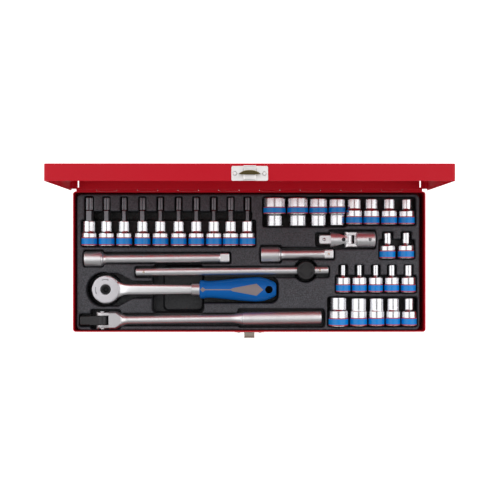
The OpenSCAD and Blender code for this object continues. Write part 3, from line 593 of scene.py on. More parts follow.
def ball_detail(name, origin, rot, at, nrm, R=None, r=1.5, rim=2.0):
    """a retaining ball in its staked hole: bright rim, a dark ring of painted shade in the gap round the ball, and ball
    cap; at in the tool's own frame, on a flat or on a bar of radius R
    """
    verts, faces, idx = [], [], []
    # the band between the last two rings lies almost flush and takes the dark metal: painted shade in the gap round the
    # ball
    rings = [(rim + 0.25, 0.0, 0), (rim + 0.1, 0.10, 0), (rim - 0.25, 0.10, 0), (rim - 0.35, -0.05, 1), (r + 0.05, -0.05, 1)]
    n = 28
    z_up = nrm
    for rr, h, m in rings:
        for k in range(n):
            a = 2 * math.pi * k / n
            u, v = rr * math.cos(a), rr * math.sin(a)
            sag = (R - math.sqrt(max(R * R - v * v, 0))) if R else 0.0
            verts.append((u, v, h - sag + 0.015))
    nb = len(rings)
    for i in range(nb - 1):
        for k in range(n):
            a, b = i * n + k, i * n + (k + 1) % n
            faces.append((a, b, b + n, a + n)); idx.append(rings[i][2])
    # ball cap
    start = len(verts)
    caps = 6
    for j in range(caps):
        t = math.radians(6 + 84 * (caps - 1 - j) / (caps - 1)) if j < caps - 1 else 0.0
        for k in range(n):
            a = 2 * math.pi * k / n
            verts.append((r * math.sin(t) * math.cos(a), r * math.sin(t) * math.sin(a), r * math.cos(t) - r + 0.62))
    for j in range(caps - 1):
        for k in range(n):
            a, b = start + j * n + k, start + j * n + (k + 1) % n
            faces.append((a, b, b + n, a + n)); idx.append(2)
    Rz = Matrix.Rotation(rot, 4, "Z")
    N = Vector(nrm).normalized()
    T = Vector((1, 0, 0))
    B = N.cross(T)
    out = []
    for v in verts:
        p = Vector(at) + T * v[0] + B * v[1] + N * v[2]
        p = Rz @ p
        out.append(((p.x + origin[0]) * MM, (p.y + origin[1]) * MM, (p.z + origin[2]) * MM))
    o = make_obj(name, out, faces, [M["satin"], M["engrave"], M["ball"]], idx, 40)
    bm = bmesh.new()
    bm.from_mesh(o.data)
    bmesh.ops.remove_doubles(bm, verts=bm.verts, dist=1e-8)
    bm.to_mesh(o.data)
    bm.free()
    return o

SQR = 9.5
def sq_end_rings(t0, t1, mat=0):
    """the drive square from t0 to its chamfered tip at t1"""
    f = ngon(4, SQR, math.pi / 4, 6.05)
    g = ngon(4, SQR - 0.5, math.pi / 4, 5.7)
    h = ngon(4, SQR - 1.6, math.pi / 4, 5.0)
    return [(t0, f, mat), (t1 - 0.9, f, mat), (t1 - 0.45, g, mat), (t1, h, mat)]

def ext_bar(nm, L, fl, fr, origin, rot, ball_up):
    mats = [M["satin"], M["satin_bright"], M["chrome"], M["engrave"]]
    # the bottom of the drive hole and the thin groove where the female end starts to taper take the dark metal: painted
    # shade
    r = [(11.5, circ(0.05), 3), (11.45, circ(3.2), 3), (11.4, ngon(4, SQ, math.pi / 4, 6.6), 0), (1.7, ngon(4, SQ, math.pi / 4, 6.6), 0), (0.9, ngon(4, SQ + 0.5, math.pi / 4, 6.3), 0), (0.0, circ(6.75), 0),
         (0.0, circ(fr - 0.95), 0), (0.3, circ(fr - 0.35), 0), (0.9, circ(fr), 0),
         (fl - 0.55, circ(fr), 0), (fl - 0.5, circ(fr - 0.18), 3), (fl - 0.2, circ(fr - 0.18), 3), (fl - 0.15, circ(fr - 0.02), 1),
         (fl + 0.5, circ(fr - 0.25), 1), (fl + 1.4, circ(fr - 1.2), 1), (fl + 2.6, circ(5.55), 1), (fl + 4.0, circ(5.0), 0), (fl + 6.0, circ(4.78), 0), (fl + 8, circ(4.75), 0),
         (L - 14, circ(4.75), 0), (L - 11.0, circ(4.78), 0), (L - 9.9, circ(4.95), 1), (L - 9.35, circ(5.3), 1)]
    r += sq_end_rings(L - 9.3, L)
    body = ring_solid(nm + "_bar", r, mats, "X", origin, rot, caps=(True, True))
    at = (L - 4.9, 0, SQR / 2) if ball_up else (L - 4.9, SQR / 2, 0)
    ball = ball_detail(nm + "_b", origin, rot, at, (0, 0, 1) if ball_up else (0, 1, 0))
    return stand_for(join(nm + "_detail", [body, ball]), nm)

ext_bar("extension_long", 150, 18, 7.85, (-170.5, 2.6, AZ), math.radians(0.6), False)
ext_bar("extension_short", 75, 18.6, 7.9, (12.1, 7.1, AZ), math.radians(0.6), True)

# sliding T bar
TB = dict(origin=(58.4, -9.1, AZ), rot=math.radians(0.55))
tr = 4.1
bar = ring_solid("tb", [(-175.9, circ(tr - 0.75), 0), (-175.6, circ(tr - 0.35), 0), (-175.1, circ(tr), 0), (-160, circ(tr), 0), (-80, circ(tr), 0), (0, circ(tr), 0), (22.8, circ(tr), 0), (23.3, circ(tr - 0.35), 0), (23.6, circ(tr - 0.75), 0)],
                 [M["satin"]], "X", TB["origin"], TB["rot"])
b1 = ball_detail("tb1", TB["origin"], TB["rot"], (-167.6, 0, tr), (0, 0, 1), R=tr, r=1.5, rim=2.0)
b2 = ball_detail("tb2", TB["origin"], TB["rot"], (14.6, 0, tr), (0, 0, 1), R=tr, r=1.5, rim=2.0)
stand_for(join("sliding_bar_detail", [bar, b1, b2]), "sliding_bar")

# flex handle: fork, shaft, flare and knurled grip
FO, FR = (-152.2, -60.7, AZ), math.radians(0.74)
def fork_fn(rc, hw=9.0, hh=6.4):
    def f(a):
        s, c = abs(math.sin(a)), abs(math.cos(a))
        q = rc
        if s > 1e-6:
            q = min(q, hh / s)
        if c > 1e-6:
            q = min(q, hw / c)
        return q
    return f
rings = []
for x, rc in ((7.2, 9.7), (13.0, 9.7), (14.2, 9.6), (15.4, 9.2), (16.6, 8.7), (18, 8.0), (19.5, 7.25), (21, 6.55), (22.5, 5.85), (24, 5.25), (25.5, 4.92), (27.5, 4.78), (30, 4.75), (90, 4.75), (131, 4.75), (134, 4.85), (137, 5.15), (140, 5.65), (143, 6.3), (145, 6.75)):
    rings.append((x, fork_fn(rc), 1 if x < 19 else 0))
shaft = ring_solid("fl_shaft", rings, [M["satin"], M["satin_fork"]], "X", FO, FR, n=96, sharp=28, caps=(True, True))
parts = [shaft]
for sgn in (1, -1):
    secs = []
    xs = [-6.4, -6.3, -6.0, -5.4, -4.5, -3.2, -1.5, 0, 2, 4, 6, 7.4]
    for x in xs:
        hh = 6.4 if x >= 0 else max(math.sqrt(max(6.4 ** 2 - x * x, 0)), 0.5)
        y_in, y_out = 4.8, 9.0
        r = 0.5 if hh > 0.6 else 0.2
        pts = rr_section((y_out - y_in) / 2, hh, r)
        # outer corners stay inside the fork's round
        q = []
        for y, z in pts:
            yy = (y_in + y_out) / 2 + y
            d = math.hypot(yy, z)
            if d > 9.7:
                yy, z = yy * 9.7 / d, z * 9.7 / d
            q.append((sgn * yy, z))
        secs.append((x, q))
    parts.append(loft_x("fl_arm%d" % sgn, secs, [M["satin_fork"]], FO, FR, sharp=40))
# knurled grip: a diamond pattern cut into the surface
def knurl(x0, x1, R, depth, nx, na, starts, pitch):
    verts, faces = [], []
    for i in range(nx + 1):
        x = x0 + (x1 - x0) * i / nx
        end = min(x - x0, x1 - x)
        fade = min(max(end - 0.8, 0) / 0.6, 1)
        for k in range(na):
            a = 2 * math.pi * k / na
            u = starts * a / (2 * math.pi)
            v = x / pitch
            h = abs(((u + v) % 1) - 0.5) * 2, abs(((u - v) % 1) - 0.5) * 2
            d = depth * (1 - min(h[0], 1) ** 1.5) * 0.5 + depth * (1 - min(h[1], 1) ** 1.5) * 0.5
            r = R - d * fade - (0.55 * max(0, 1 - end / 0.7) ** 2)
            verts.append((x, r * math.cos(a), r * math.sin(a)))
    for i in range(nx):
        for k in range(na):
            a, b = i * na + k, i * na + (k + 1) % na
            faces.append((a, b, b + na, a + na))
    faces.append([k for k in range(na)][::-1])
    faces.append([nx * na + k for k in range(na)])
    Rz = Matrix.Rotation(FR, 4, "Z")
    out = []
    for v in verts:
        p = Rz @ Vector(v)
        out.append(((p.x + FO[0]) * MM, (p.y + FO[1]) * MM, (p.z + FO[2]) * MM))
    return make_obj("fl_grip", out, faces, [M["satin_bright"]], None, 60)
parts.append(knurl(145.0, 226.7, 6.95, 0.26, 300, 220, 34, 2.4))
stand_for(join("flex_handle_detail", parts), "flex_handle_bar")

# ------------------------------------------------------------------ ratchet
RX, RY = -148.1, -28.8
def disc_r(a):
    return 14.25 - 0.32 * (0.5 + 0.5 * math.cos(9 * a + 0.6)) ** 2
def less(d):
    return lambda a: disc_r(a) - d
dial = ring_solid("dial", [(27.3, circ(5.25), 0), (27.3, less(0.6), 0), (27.6, less(0.15), 0), (28.0, less(0), 0), (29.2, less(0), 0), (29.55, less(0.12), 0), (29.8, less(0.45), 0), (29.95, less(1.0), 0), (30.0, less(1.8), 0),
                            (30.0, circ(6.6), 0), (29.95, circ(5.9), 0), (29.8, circ(5.45), 0), (29.5, circ(5.25), 0), (27.35, circ(5.25), 0)], [M["disc"]], "Z", (RX, RY, 0), 0, n=180, caps=(False, False))
def arrow(name, R, a0, a1, w, z):
    """a curved arrow pressed into the dial's face"""
    verts, faces = [], []
    n = 14
    for i in range(n + 1):
        a = math.radians(a0 + (a1 - a0) * i / n)
        for rr in (R - w / 2, R + w / 2):
            verts.append((rr * math.cos(a), rr * math.sin(a), z))
    for i in range(n):
        faces.append((2 * i, 2 * i + 1, 2 * i + 3, 2 * i + 2))
    s = 1 if a1 > a0 else -1
    a = math.radians(a1)
    t = math.radians(a1 + s * 11)
    b = len(verts)
    verts += [((R - w * 1.25) * math.cos(a), (R - w * 1.25) * math.sin(a), z), ((R + w * 1.25) * math.cos(a), (R + w * 1.25) * math.sin(a), z), (R * math.cos(t), R * math.sin(t), z)]
    faces.append((b, b + 1, b + 2))
    out = [((v[0] + RX) * MM, (v[1] + RY) * MM, v[2] * MM) for v in verts]
    o = make_obj(name, out, faces, [M["engrave"]], None, smooth=False)
    bm = bmesh.new()
    bm.from_mesh(o.data)
    bmesh.ops.recalc_face_normals(bm, faces=bm.faces)
    ret = bmesh.ops.extrude_face_region(bm, geom=bm.faces[:])
    for v in [g for g in ret["geom"] if isinstance(g, bmesh.types.BMVert)]:
        v.co.z -= 0.10 * MM
    bmesh.ops.recalc_face_normals(bm, faces=bm.faces)
    bm.to_mesh(o.data)
    bm.free()
    return o
marks = [arrow("ar1", 10.4, 112, 80, 0.7, 30.03), arrow("ar2", 10.4, 165, 197, 0.7, 30.03), ]
stand_for(join("ratchet_dial_detail", [dial] + marks), "ratchet_dial")

btn = ring_solid("btn", [(27.0, circ(4.75), 0), (29.8, circ(4.75), 0), (30.3, circ(4.6), 1), (30.5, circ(4.3), 1), (30.5, circ(3.75), 0), (29.7, circ(3.6), 0), (29.7, circ(3.0), 0), (30.35, circ(2.85), 0), (30.45, circ(2.3), 0),
                          (29.9, circ(1.9), 0), (29.3, circ(1.5), 0), (29.2, circ(0.1), 0)], [M["button"], M["button_rim"]], "Z", (RX, RY, 0), 0, n=72)
stem = ring_solid("btn2", [(11.3, circ(1.6), 0), (11.6, circ(2.0), 0), (27.1, circ(2.0), 0)], [M["gear"]], "Z", (RX, RY, 0), 0, n=36)
stand_for(join("ratchet_button_detail", [btn, stem]), "ratchet_button")

def super_section(hw, hh, p, k=40):
    pts = []
    for i in range(k):
        a = 2 * math.pi * i / k
        c, s = math.cos(a), math.sin(a)
        pts.append((hw * math.copysign(abs(c) ** (2 / p), c), hh * math.copysign(abs(s) ** (2 / p), s)))
    return pts
def interp(xs, ys, x):
    """a smooth curve through points (monotone cubic)"""
    n = len(xs)
    if x <= xs[0]:
        return ys[0]
    if x >= xs[-1]:
        return ys[-1]
    h = [xs[i + 1] - xs[i] for i in range(n - 1)]
    d = [(ys[i + 1] - ys[i]) / h[i] for i in range(n - 1)]
    m = [d[0]] + [0.0 if d[i - 1] * d[i] <= 0 else 2 * d[i - 1] * d[i] / (d[i - 1] + d[i]) for i in range(1, n - 1)] + [d[-1]]
    i = max(j for j in range(n - 1) if xs[j] <= x)
    t = (x - xs[i]) / h[i]
    return ((1 + 2 * t) * (1 - t) ** 2 * ys[i] + t * (1 - t) ** 2 * h[i] * m[i] + t * t * (3 - 2 * t) * ys[i + 1] + t * t * (t - 1) * h[i] * m[i + 1])
# head, neck and shank
head = ring_solid("rh", [(15.7, circ(10.8), 0), (15.6, circ(11.2), 0), (15.6, circ(13.7), 0), (15.75, circ(14.2), 0), (16.2, circ(14.55), 0), (26.3, circ(14.55), 0), (26.8, circ(14.2), 0), (27.0, circ(13.6), 0), (27.0, circ(6.3), 0), (25.6, circ(6.1), 0), (25.4, circ(10.7), 0), (15.75, circ(10.75), 0)],
                  [M["satin_bright"]], "Z", (RX, RY, 0), 0, n=96, caps=(False, False))
nx_ = [9.5, 11, 12.5, 14, 15.5, 17, 19, 21, 24, 30, 40, 60, 75, 86, 90, 92]
nw = [10.6, 9.7, 8.8, 8.0, 7.3, 6.7, 6.15, 5.85, 5.72, 5.68, 5.6, 5.3, 5.05, 4.85, 4.8, 4.75]
nh = [4.6, 4.6, 4.6, 4.6, 4.65, 4.8, 5.1, 5.3, 5.4, 5.4, 5.3, 5.1, 4.95, 4.85, 4.8, 4.75]
secs = []
for i in range(0, 120):
    x = 9.5 + (92 - 9.5) * i / 119
    secs.append((x, super_section(interp(nx_, nw, x), interp(nx_, nh, x), 3.6)))
# the neck: a rounded-square loft that narrows from the head to the ferrule
neck = loft_x("rn", secs, [M["satin_bright"]], (RX, RY, AZ - 0.4), 0, sharp=30)
ferr = ring_solid("rf", [(88.1, circ(4.9), 0), (88.3, circ(5.8), 0), (88.8, circ(6.35), 0), (95.4, circ(6.45), 0), (96.8, circ(6.5), 0), (96.9, circ(5), 0)], [M["satin"]], "X", (RX, RY, AZ), 0, n=64)
tang = ring_solid("rt", [(92, circ(4.1), 0), (160.6, circ(4.1), 0), (161, circ(3.8), 0)], [M["satin"]], "X", (RX, RY, AZ), 0, n=36)
stand_for(join("ratchet_body_detail", [head, neck, ferr, tang]), "ratchet_body")

# grip with its inlay
GX = [96.6, 97.0, 97.8, 99.6, 101.2, 102.9, 105.4, 109.4, 118.4, 130.4, 142.4, 151.4, 156.4, 160.4, 164.6, 168.2, 171.4, 173.6, 175.0, 175.8, 176.0]
GR = [6.2, 8.6, 9.3, 9.5, 9.35, 8.9, 8.72, 8.8, 9.55, 10.75, 11.9, 12.45, 12.55, 12.3, 11.5, 10.2, 8.9, 7.9, 6.9, 5.6, 4.2]
def grip_r(x):
    return interp(GX, GR, x)
def grip_hh(x):
    return grip_r(x) * (1 - 0.06 * min(max((x - 104) / 20, 0), 1))
def build_grip():
    xs = sorted(set([96.6, 96.65, 96.8, 97.0, 97.3, 97.7, 98.2, 98.9, 99.7, 100.4] + [101 + 0.9 * i for i in range(82)] + [174.6, 175.0, 175.4, 175.7, 175.9, 176.0]))
    n = 96
    hx, hr = 168.4, 3.8
    verts, faces, idx = [], [], []
    for x in xs:
        R, H = grip_r(x), grip_hh(x)
        for k in range(n):
            a = 2 * math.pi * k / n
            verts.append([x, R * math.cos(a), H * math.sin(a)])
    for i in range(len(xs) - 1):
        for k in range(n):
            a, b = i * n + k, i * n + (k + 1) % n
            faces.append((a, b, b + n, a + n)); idx.append(0)
    faces.append([k for k in range(n)][::-1]); idx.append(0)
    faces.append([(len(xs) - 1) * n + k for k in range(n)]); idx.append(0)
    out = [((v[0] + RX) * MM, (v[1] + RY) * MM, (v[2] + AZ) * MM) for v in verts]
    g = make_obj("grip_body", out, faces, [M["grip"], M["button"]], idx, 50)
    cut = ring_solid("hole_cut", [(-20, circ(hr + 0.9), 1), (8.6, circ(hr), 1), (8.9, circ(hr + 0.02), 1), (9.6, circ(hr + 0.25), 1), (20, circ(hr + 0.5), 1)], [M["grip"], M["button"]], "Z", (RX + hx, RY, AZ), 0, n=48)
    md = g.modifiers.new("hole", "BOOLEAN")
    md.operation = "DIFFERENCE"
    md.solver = "EXACT"
    md.object = cut
    dg = bpy.context.evaluated_depsgraph_get()
    me = bpy.data.meshes.new_from_object(g.evaluated_get(dg))
    g.modifiers.clear()
    g.data = me
    bpy.data.objects.remove(cut)
    me.polygons.foreach_set("use_smooth", [True] * len(me.polygons))
    me.set_sharp_from_angle(angle=math.radians(42))
    return g
g = build_grip()
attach(g, "ratchet")
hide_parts("ratchet_grip")
def build_inlay():
    out_x = [97.7, 98.3, 99.0, 99.7, 100.1, 100.6, 101.4, 102.2, 102.8, 103.4, 107, 111, 115, 119, 123, 127, 129.2, 130, 131, 134, 137, 140, 143, 146, 149, 152, 154.6, 155.4, 156.0, 157, 158.5, 160, 161.2, 162.0, 162.3]
    def hwf(x):
        px = [97.6, 100.0, 102.6, 129.6, 130.2, 155.5, 162.35]
        py = [0.05, 2.6, 0.55, 0.55, 1.5, 6.2, 0.05]
        return float(np.interp(x, px, py))
    verts, faces = [], []
    nv = 13
    for x in out_x:
        h = hwf(x)
        R, H = grip_r(x), grip_hh(x)
        for j in range(nv):
            t = -1 + 2 * j / (nv - 1)
            y = h * t
            z = H * math.sqrt(max(1 - (y / R) ** 2, 0))
            e = 0.10 * (1 - abs(t) ** 6)
            verts.append((x, y, z + 0.02 + e))
        for t in (1, -1):
            y = h * t
            verts.append((x, y, H * math.sqrt(max(1 - (y / R) ** 2, 0)) - 0.5))
    w = nv + 2
    for i in range(len(out_x) - 1):
        o0, o1 = i * w, (i + 1) * w
        for j in range(nv - 1):
            faces.append((o0 + j, o0 + j + 1, o1 + j + 1, o1 + j))
        faces.append((o0 + nv - 1, o0 + nv, o1 + nv, o1 + nv - 1))
        faces.append((o0 + nv, o0 + nv + 1, o1 + nv + 1, o1 + nv))
        faces.append((o0 + nv + 1, o0, o1, o1 + nv + 1))
    faces.append([j for j in range(w)])
    faces.append([(len(out_x) - 1) * w + j for j in range(w)][::-1])
    out = [((v[0] + RX) * MM, (v[1] + RY) * MM, (v[2] + AZ) * MM) for v in verts]
    o = make_obj("grip_inlay_detail", out, faces, [M["inlay"]], None, 50)
    bm = bmesh.new()
    bm.from_mesh(o.data)
    bmesh.ops.recalc_face_normals(bm, faces=bm.faces)
    bm.to_mesh(o.data)
    bm.free()
    return stand_for(o, "ratchet_grip_inlay")
build_inlay()

# ------------------------------------------------------------------ latch lever
HY, HZ = 74.5, 31.0
LID_Y = HY - 144.6 - 3.9
def opened(x, y, z):
    """a point of the shut lid where it is with the lid open"""
    return (x * MM, (HY + (z - HZ)) * MM, (HZ - (y - HY)) * MM)
def shell_grid(name, front, back, mats, idx, sharp=40):
    """closed shell from two grids of points with the same shape [rows][cols]"""
    R, C = len(front), len(front[0])
    verts = [p for row in front for p in row] + [p for row in back for p in row]
    o = R * C
    faces, mi = [], []
    for i in range(R - 1):
        for j in range(C - 1):
            a = i * C + j
            faces.append((a, a + 1, a + C + 1, a + C)); mi.append(idx(i, j, 0))
            faces.append((o + a, o + a + C, o + a + C + 1, o + a + 1)); mi.append(idx(i, j, 1))
    for j in range(C - 1):
        for i in (0, R - 1):
            a = i * C + j
            faces.append((a, a + 1, o + a + 1, o + a)); mi.append(idx(i, j, 2))
    for i in range(R - 1):
        for j in (0, C - 1):
            a = i * C + j
            faces.append((a, a + C, o + a + C, o + a)); mi.append(idx(i, j, 2))
    ob = make_obj(name, verts, faces, mats, mi, sharp)
    bm = bmesh.new()
    bm.from_mesh(ob.data)
    bmesh.ops.remove_doubles(bm, verts=bm.verts, dist=1e-7)
    bmesh.ops.recalc_face_normals(bm, faces=bm.faces)
    bm.to_mesh(ob.data)
    bm.free()
    return ob
def build_lever():
    LV = 39.8
    # strap: pale nickel, crowned across, with a turned-down shoulder on both sides; its back and sides take the brass
    # with painted shade
    xs = [-5.5, -5.42, -5.2, -4.9, -4.6, -3, -1.5, 0, 1.5, 3, 4.6, 4.9, 5.2, 5.42, 5.5]
    hs = [0.95, 1.25, 1.50, 1.62, 1.66, 1.72, 1.76, 1.78, 1.76, 1.72, 1.66, 1.62, 1.50, 1.25, 0.95]
    zs = [29.75, 29.9, 30.2, 31, 33, 35, 37, 38.2, 38.8, 39.3, 39.8, 40.2, 40.45]
    kz = [0.5, 0.8, 0.95, 1, 1, 1, 1, 1.05, 1.12, 1.2, 1.25, 1.2, 1.0]
    front = [[opened(x, LID_Y - 0.9 - h * k, z) for x, h in zip(xs, hs)] for z, k in zip(zs, kz)]
    back = [[opened(x, LID_Y - 0.9 - 0.55 * max(0, z - 39.0), z) for x in xs] for z in zs]
    strap = shell_grid("lv_strap", front, back, [M["nickel"], M["brass"], M["brass_edge"]], lambda i, j, s: 0 if s == 0 else 1)
    # crescent thumb lip, sloping outwards towards the rim
    n = 44
    front, back = [], []
    for j in range(n + 1):
        x = -9.5 + 19.0 * j / n
        u = abs(x) / 9.5
        zt = HZ + 4.5 + 3.4 * (1 - u ** 2.3) ** 0.85
        zb = HZ + 3.85 + 0.35 * u ** 3
        rf, rb = [], []
        for i in range(9):
            t = i / 8
            z = zb + (zt - zb) * t
            o = 6.3 - 0.80 * (z - HZ - 3.85) - 0.25 * u ** 2
            e = 0.22 * (1 - min(min(t, 1 - t) / 0.12, 1)) ** 2
            rf.append(opened(x, LID_Y - o + e, z))
            rb.append(opened(x, LID_Y - o + 0.58, z - 0.05))
        front.append(rf)
        back.append(rb)
    # the lip is brass with painted shade, with a painted highlight on the top band of its front
    lip = shell_grid("lv_lip", front, back, [M["nickel"], M["brass"], M["brass_edge"]], lambda i, j, s: 2 if (s == 0 and j == 7) else 1, 50)
    # web that joins the lip to the strap
    front = [[opened(x, LID_Y - o, z) for x in (-5.2, -4.9, 0, 4.9, 5.2)] for z, o in ((HZ + 3.95, 2.4), (HZ + 4.0, 5.8), (HZ + 5.4, 4.7), (HZ + 6.7, 3.6), (HZ + 7.0, 2.4))]
    back = [[opened(x, LID_Y - 2.2, z) for x in (-5.2, -4.9, 0, 4.9, 5.2)] for z in (HZ + 3.95, HZ + 4.5, HZ + 5.4, HZ + 6.5, HZ + 7.0)]
    web = shell_grid("lv_web", front, back, [M["brass"]], lambda i, j, s: 0)
    return stand_for(join("latch_lever_detail", [strap, lip, web]), "latch_lever")
build_lever()

# ------------------------------------------------------------------ moulded insert
POCKETS = [
  [-174.4, 7.4, 14.6, 43.6, 14.7, 3], [-170.9, -160.5, 42, 68, 16.2, 2.5], [-162.5, 3.2, 43, 52.4, 10, 2.5],
  [13.3, 101, 35.2, 67.4, 11.3, 3], [98, 172.9, 36.8, 67.2, 14.6, 3],
  [81.8, 131.5, 12.4, 33.4, 14.3, 2.5], [67.8, 86, 15.5, 30.3, 14.3, 2.5],
  [133.4, 172, 2, 23.4, 14.6, 2.5], [137, 149.4, 20, 31.4, 17, 2], [156.4, 168.6, 20, 31.6, 17, 2],
  [88.3, 173.6, -33.2, -13.6, 15.2, 2.5],
  [80.4, 174.4, -68, -36, 12.7, 3],
  [-172.3, -150, -6.2, 12.6, 15, 2.5], [-152, -18.4, -2.9, 10.3, 16.6, 2.5],
  [10.6, 34, -2.0, 17.5, 15, 2.5], [32, 88.9, 1.2, 15.4, 16.6, 2.5],
  [-119, 83.6, -17.2, -4.2, 16.6, 2.5],
  [-129, -98, -38.5, -19.9, 13, 2.5],
  [-101, -46.5, -53.4, -2.8, 5, 5],
  [-54, 30.4, -43.4, -15.3, 10.4, 8],
  [-176.4, -163, -67.8, -53.6, 15, 2.5], [-165, -132.2, -70.2, -49, 13.2, 3], [-135, -10, -67.2, -52.8, 16.6, 2.5], [-13, 78.8, -68.8, -48.2, 14.6, 4]]
for p in BX[1:]:
    POCKETS.append([p[0] - 4.35, p[0] + 4.35, 50, 67.6, 18.2, 2])
for p in SB[6:11]:
    POCKETS.append([p[0] - 5.4, p[0] + 5.4, -16, -2.9, 17.5, 2])
ROUNDS = [[58.4, -9.2, 12.6, 4.3], [-150.6, -29, 18.2, 4.3]]
TX0, TX1, TY0, TY1 = -178.4, 176.1, -70.9, 69.7
T_TOP = 27.0

def rr_sdf(X, Y, x0, x1, y0, y1, r):
    cx, cy, hx, hy = (x0 + x1) / 2, (y0 + y1) / 2, (x1 - x0) / 2, (y1 - y0) / 2
    r = min(r, hx - 0.05, hy - 0.05)
    qx, qy = np.abs(X - cx) - (hx - r), np.abs(Y - cy) - (hy - r)
    return np.hypot(np.maximum(qx, 0), np.maximum(qy, 0)) + np.minimum(np.maximum(qx, qy), 0) - r

def poly_sdf(X, Y, pts):
    d = np.full(X.shape, 1e9)
    inside = np.zeros(X.shape, bool)
    n = len(pts)
    for i in range(n):
        ax, ay = pts[i]
        bx, by = pts[(i + 1) % n]
        ex, ey = bx - ax, by - ay
        t = np.clip(((X - ax) * ex + (Y - ay) * ey) / (ex * ex + ey * ey), 0, 1)
        d = np.minimum(d, np.hypot(X - ax - t * ex, Y - ay - t * ey))
        cond = ((ay > Y) != (by > Y)) & (X < (bx - ax) * (Y - ay) / ((by - ay) if by != ay else 1e-9) + ax)
        inside ^= cond
    return np.where(inside, -d, d)

SHOULDER = [(-149, -11.6), (-136, -11.6), (-120, -20), (-120, -38.4), (-136, -46.8), (-149, -46.8)]

def tray_field(X, Y):
    """signed distance to the nearest pocket's edge, and the height of the floor there"""
    s = np.full(X.shape, 1e9)
    z = np.full(X.shape, T_TOP)
    parts = [(rr_sdf(X, Y, p[0], p[1], p[2], p[3], p[5]), p[4]) for p in POCKETS]
    parts += [(np.hypot(X - p[0], Y - p[1]) - p[2], p[3]) for p in ROUNDS]
    parts.append((poly_sdf(X, Y, SHOULDER), 13.0))
    for d, f in parts:
        s = np.minimum(s, d)
    # wall between floors of different depth: each floor takes over inside its own edge
    for d, f in parts:
        w = np.clip(-d / 0.9, 0, 1)
        zz = T_TOP - (T_TOP - f) * w
        z = np.minimum(z, zz)
    # the well's floor is a raised pad with rolled edges and a groove along its left side
    pad = rr_sdf(X, Y, -90.2, -48.2, -51.8, -4.4, 5.5)
    z = z + 2.4 * np.clip(-pad / 1.4, 0, 1) ** 0.6 * (z < 6.5)
    return s, z

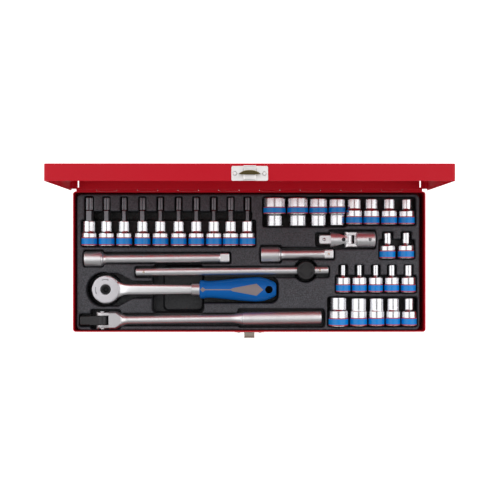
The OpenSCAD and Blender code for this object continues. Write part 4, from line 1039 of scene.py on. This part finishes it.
def build_tray():
    P = 0.8
    nx, ny = int(round((TX1 - TX0) / P)) + 1, int(round((TY1 - TY0) / P)) + 1
    xs, ys = np.linspace(TX0, TX1, nx), np.linspace(TY0, TY1, ny)
    X, Y = np.meshgrid(xs, ys, indexing="ij")
    # pull the grid onto the pockets' rims so that every wall is clean
    h = 0.05
    for _ in range(2):
        s, _z = tray_field(X, Y)
        gx = (tray_field(X + h, Y)[0] - tray_field(X - h, Y)[0]) / (2 * h)
        gy = (tray_field(X, Y + h)[0] - tray_field(X, Y - h)[0]) / (2 * h)
        target = np.where(np.abs(s) < 0.5 * P, 0.0, np.where(np.abs(s + 0.95) < 0.55 * P, -0.95, s))
        mv = (target - s)
        lim = 0.45 * P
        mv = np.clip(mv, -lim, lim)
        border = np.zeros(X.shape, bool)
        border[0, :] = border[-1, :] = border[:, 0] = border[:, -1] = True
        mv[border] = 0
        X, Y = X + gx * mv, Y + gy * mv
    s, Z = tray_field(X, Y)
    # rounded lip around each pocket and along the outside
    lip = np.clip(1 - s / 1.3, 0, 1)
    Z = np.where(s > 0, T_TOP - 0.42 * lip ** 2, np.minimum(Z, T_TOP - 0.42))
    edge = np.minimum(np.minimum(X - TX0, TX1 - X), np.minimum(Y - TY0, TY1 - Y))
    cr = 5.0
    ex = np.maximum(np.maximum(TX0 + cr - X, X - (TX1 - cr)), 0)
    ey = np.maximum(np.maximum(TY0 + cr - Y, Y - (TY1 - cr)), 0)
    corner = cr - np.hypot(ex, ey)
    edge = np.where((ex > 0) & (ey > 0), np.minimum(corner, edge), edge)
    # corners: squeeze the outer vertices onto the rounded outline
    over = (ex > 0) & (ey > 0) & (corner < 0)
    k = np.where(over, cr / np.maximum(np.hypot(ex, ey), 1e-9), 1.0)
    cxs = np.where(X < 0, TX0 + cr, TX1 - cr)
    cys = np.where(Y < 0, TY0 + cr, TY1 - cr)
    X = np.where(over, cxs + (X - cxs) * k, X)
    Y = np.where(over, cys + (Y - cys) * k, Y)
    edge = np.where(over, 0, edge)
    drop = np.clip(1 - edge / 1.6, 0, 1)
    Z = np.where(s > 0, Z - 1.3 * drop ** 2, Z)
    verts = np.stack([X, Y, Z], -1).reshape(-1, 3)
    nV = len(verts)
    I, J = np.meshgrid(np.arange(nx - 1), np.arange(ny - 1), indexing="ij")
    a = (I * ny + J).ravel()
    faces = np.stack([a, a + ny, a + ny + 1, a + 1], -1)
    # skirt down to the case's floor and an underside
    loop = [i * ny for i in range(nx)] + [(nx - 1) * ny + j for j in range(1, ny)] + [i * ny + ny - 1 for i in range(nx - 2, -1, -1)] + [j for j in range(ny - 2, 0, -1)]
    bottom = verts[loop].copy()
    bottom[:, 2] = 1.05
    allv = np.concatenate([verts, bottom]) * MM
    nl = len(loop)
    fl = [tuple(f) for f in faces]
    for q in range(nl):
        b = (q + 1) % nl
        fl.append((loop[q], nV + q, nV + b, loop[b]))
    fl.append(tuple(nV + q for q in range(nl))[::-1])
    me = bpy.data.meshes.new("insert")
    me.from_pydata([tuple(v) for v in allv], [], fl)
    me.materials.append(M["tray"])
    me.polygons.foreach_set("use_smooth", [True] * len(me.polygons))
    me.update()
    me.set_sharp_from_angle(angle=math.radians(75))
    o = bpy.data.objects.new("moulded_insert", me)
    bpy.context.scene.collection.objects.link(o)
    bm = bmesh.new()
    bm.from_mesh(me)
    bmesh.ops.recalc_face_normals(bm, faces=bm.faces)
    bm.to_mesh(me)
    bm.free()
    return stand_for(o, "insert_tray")

build_tray()

# ------------------------------------------------------------------ stage
def plane(name, size, z, m):
    me = bpy.data.meshes.new(name)
    s = size / 2
    me.from_pydata([(-s, -s, z), (s, -s, z), (s, s, z), (-s, s, z)], [], [(0, 1, 2, 3)])
    me.materials.append(m)
    o = bpy.data.objects.new(name, me)
    bpy.context.scene.collection.objects.link(o)
    return o
fm, fnt, fbs = new_mat("floor_white")
fv = coords(fnt)
fnt.links.new(ramp(fnt, noise(fnt, fv, 3, 2), [(0.0, (0.93, 0.93, 0.93)), (1.0, (0.95, 0.95, 0.95))]), fbs.inputs["Base Color"])
fbs.inputs["Roughness"].default_value = 0.9
fbs.inputs["Specular IOR Level"].default_value = 0.0
fbs.inputs["Emission Color"].default_value = (1, 1, 1, 1)
fbs.inputs["Emission Strength"].default_value = 0.75
floor = plane("floor", 12, -0.0004, fm)

def area(name, loc, size, power, target=(0, 0, 0), col=(1, 1, 1)):
    d = bpy.data.lights.new(name, "AREA")
    d.shape = "RECTANGLE"
    d.size, d.size_y = size
    d.energy = power
    d.color = col
    o = bpy.data.objects.new(name, d)
    o.location = loc
    v = Vector(target) - Vector(loc)
    o.rotation_euler = v.to_track_quat("-Z", "Y").to_euler()
    bpy.context.scene.collection.objects.link(o)
    return o
area("key_left", (-1.1, 0.3, 1.25), (1.9, 2.2), 17.5)
area("key_right", (1.1, 0.3, 1.25), (1.9, 2.2), 17.5)
area("front", (0, -1.5, 1.0), (1.8, 0.8), 0.4)
w = bpy.data.worlds.new("world")
bpy.context.scene.world = w
w.use_nodes = True
w.node_tree.nodes["Background"].inputs["Color"].default_value = (1, 1, 1, 1)
w.node_tree.nodes["Background"].inputs["Strength"].default_value = 0.22
bpy.context.scene.view_settings.view_transform = "Standard"
bpy.context.view_layer.update()
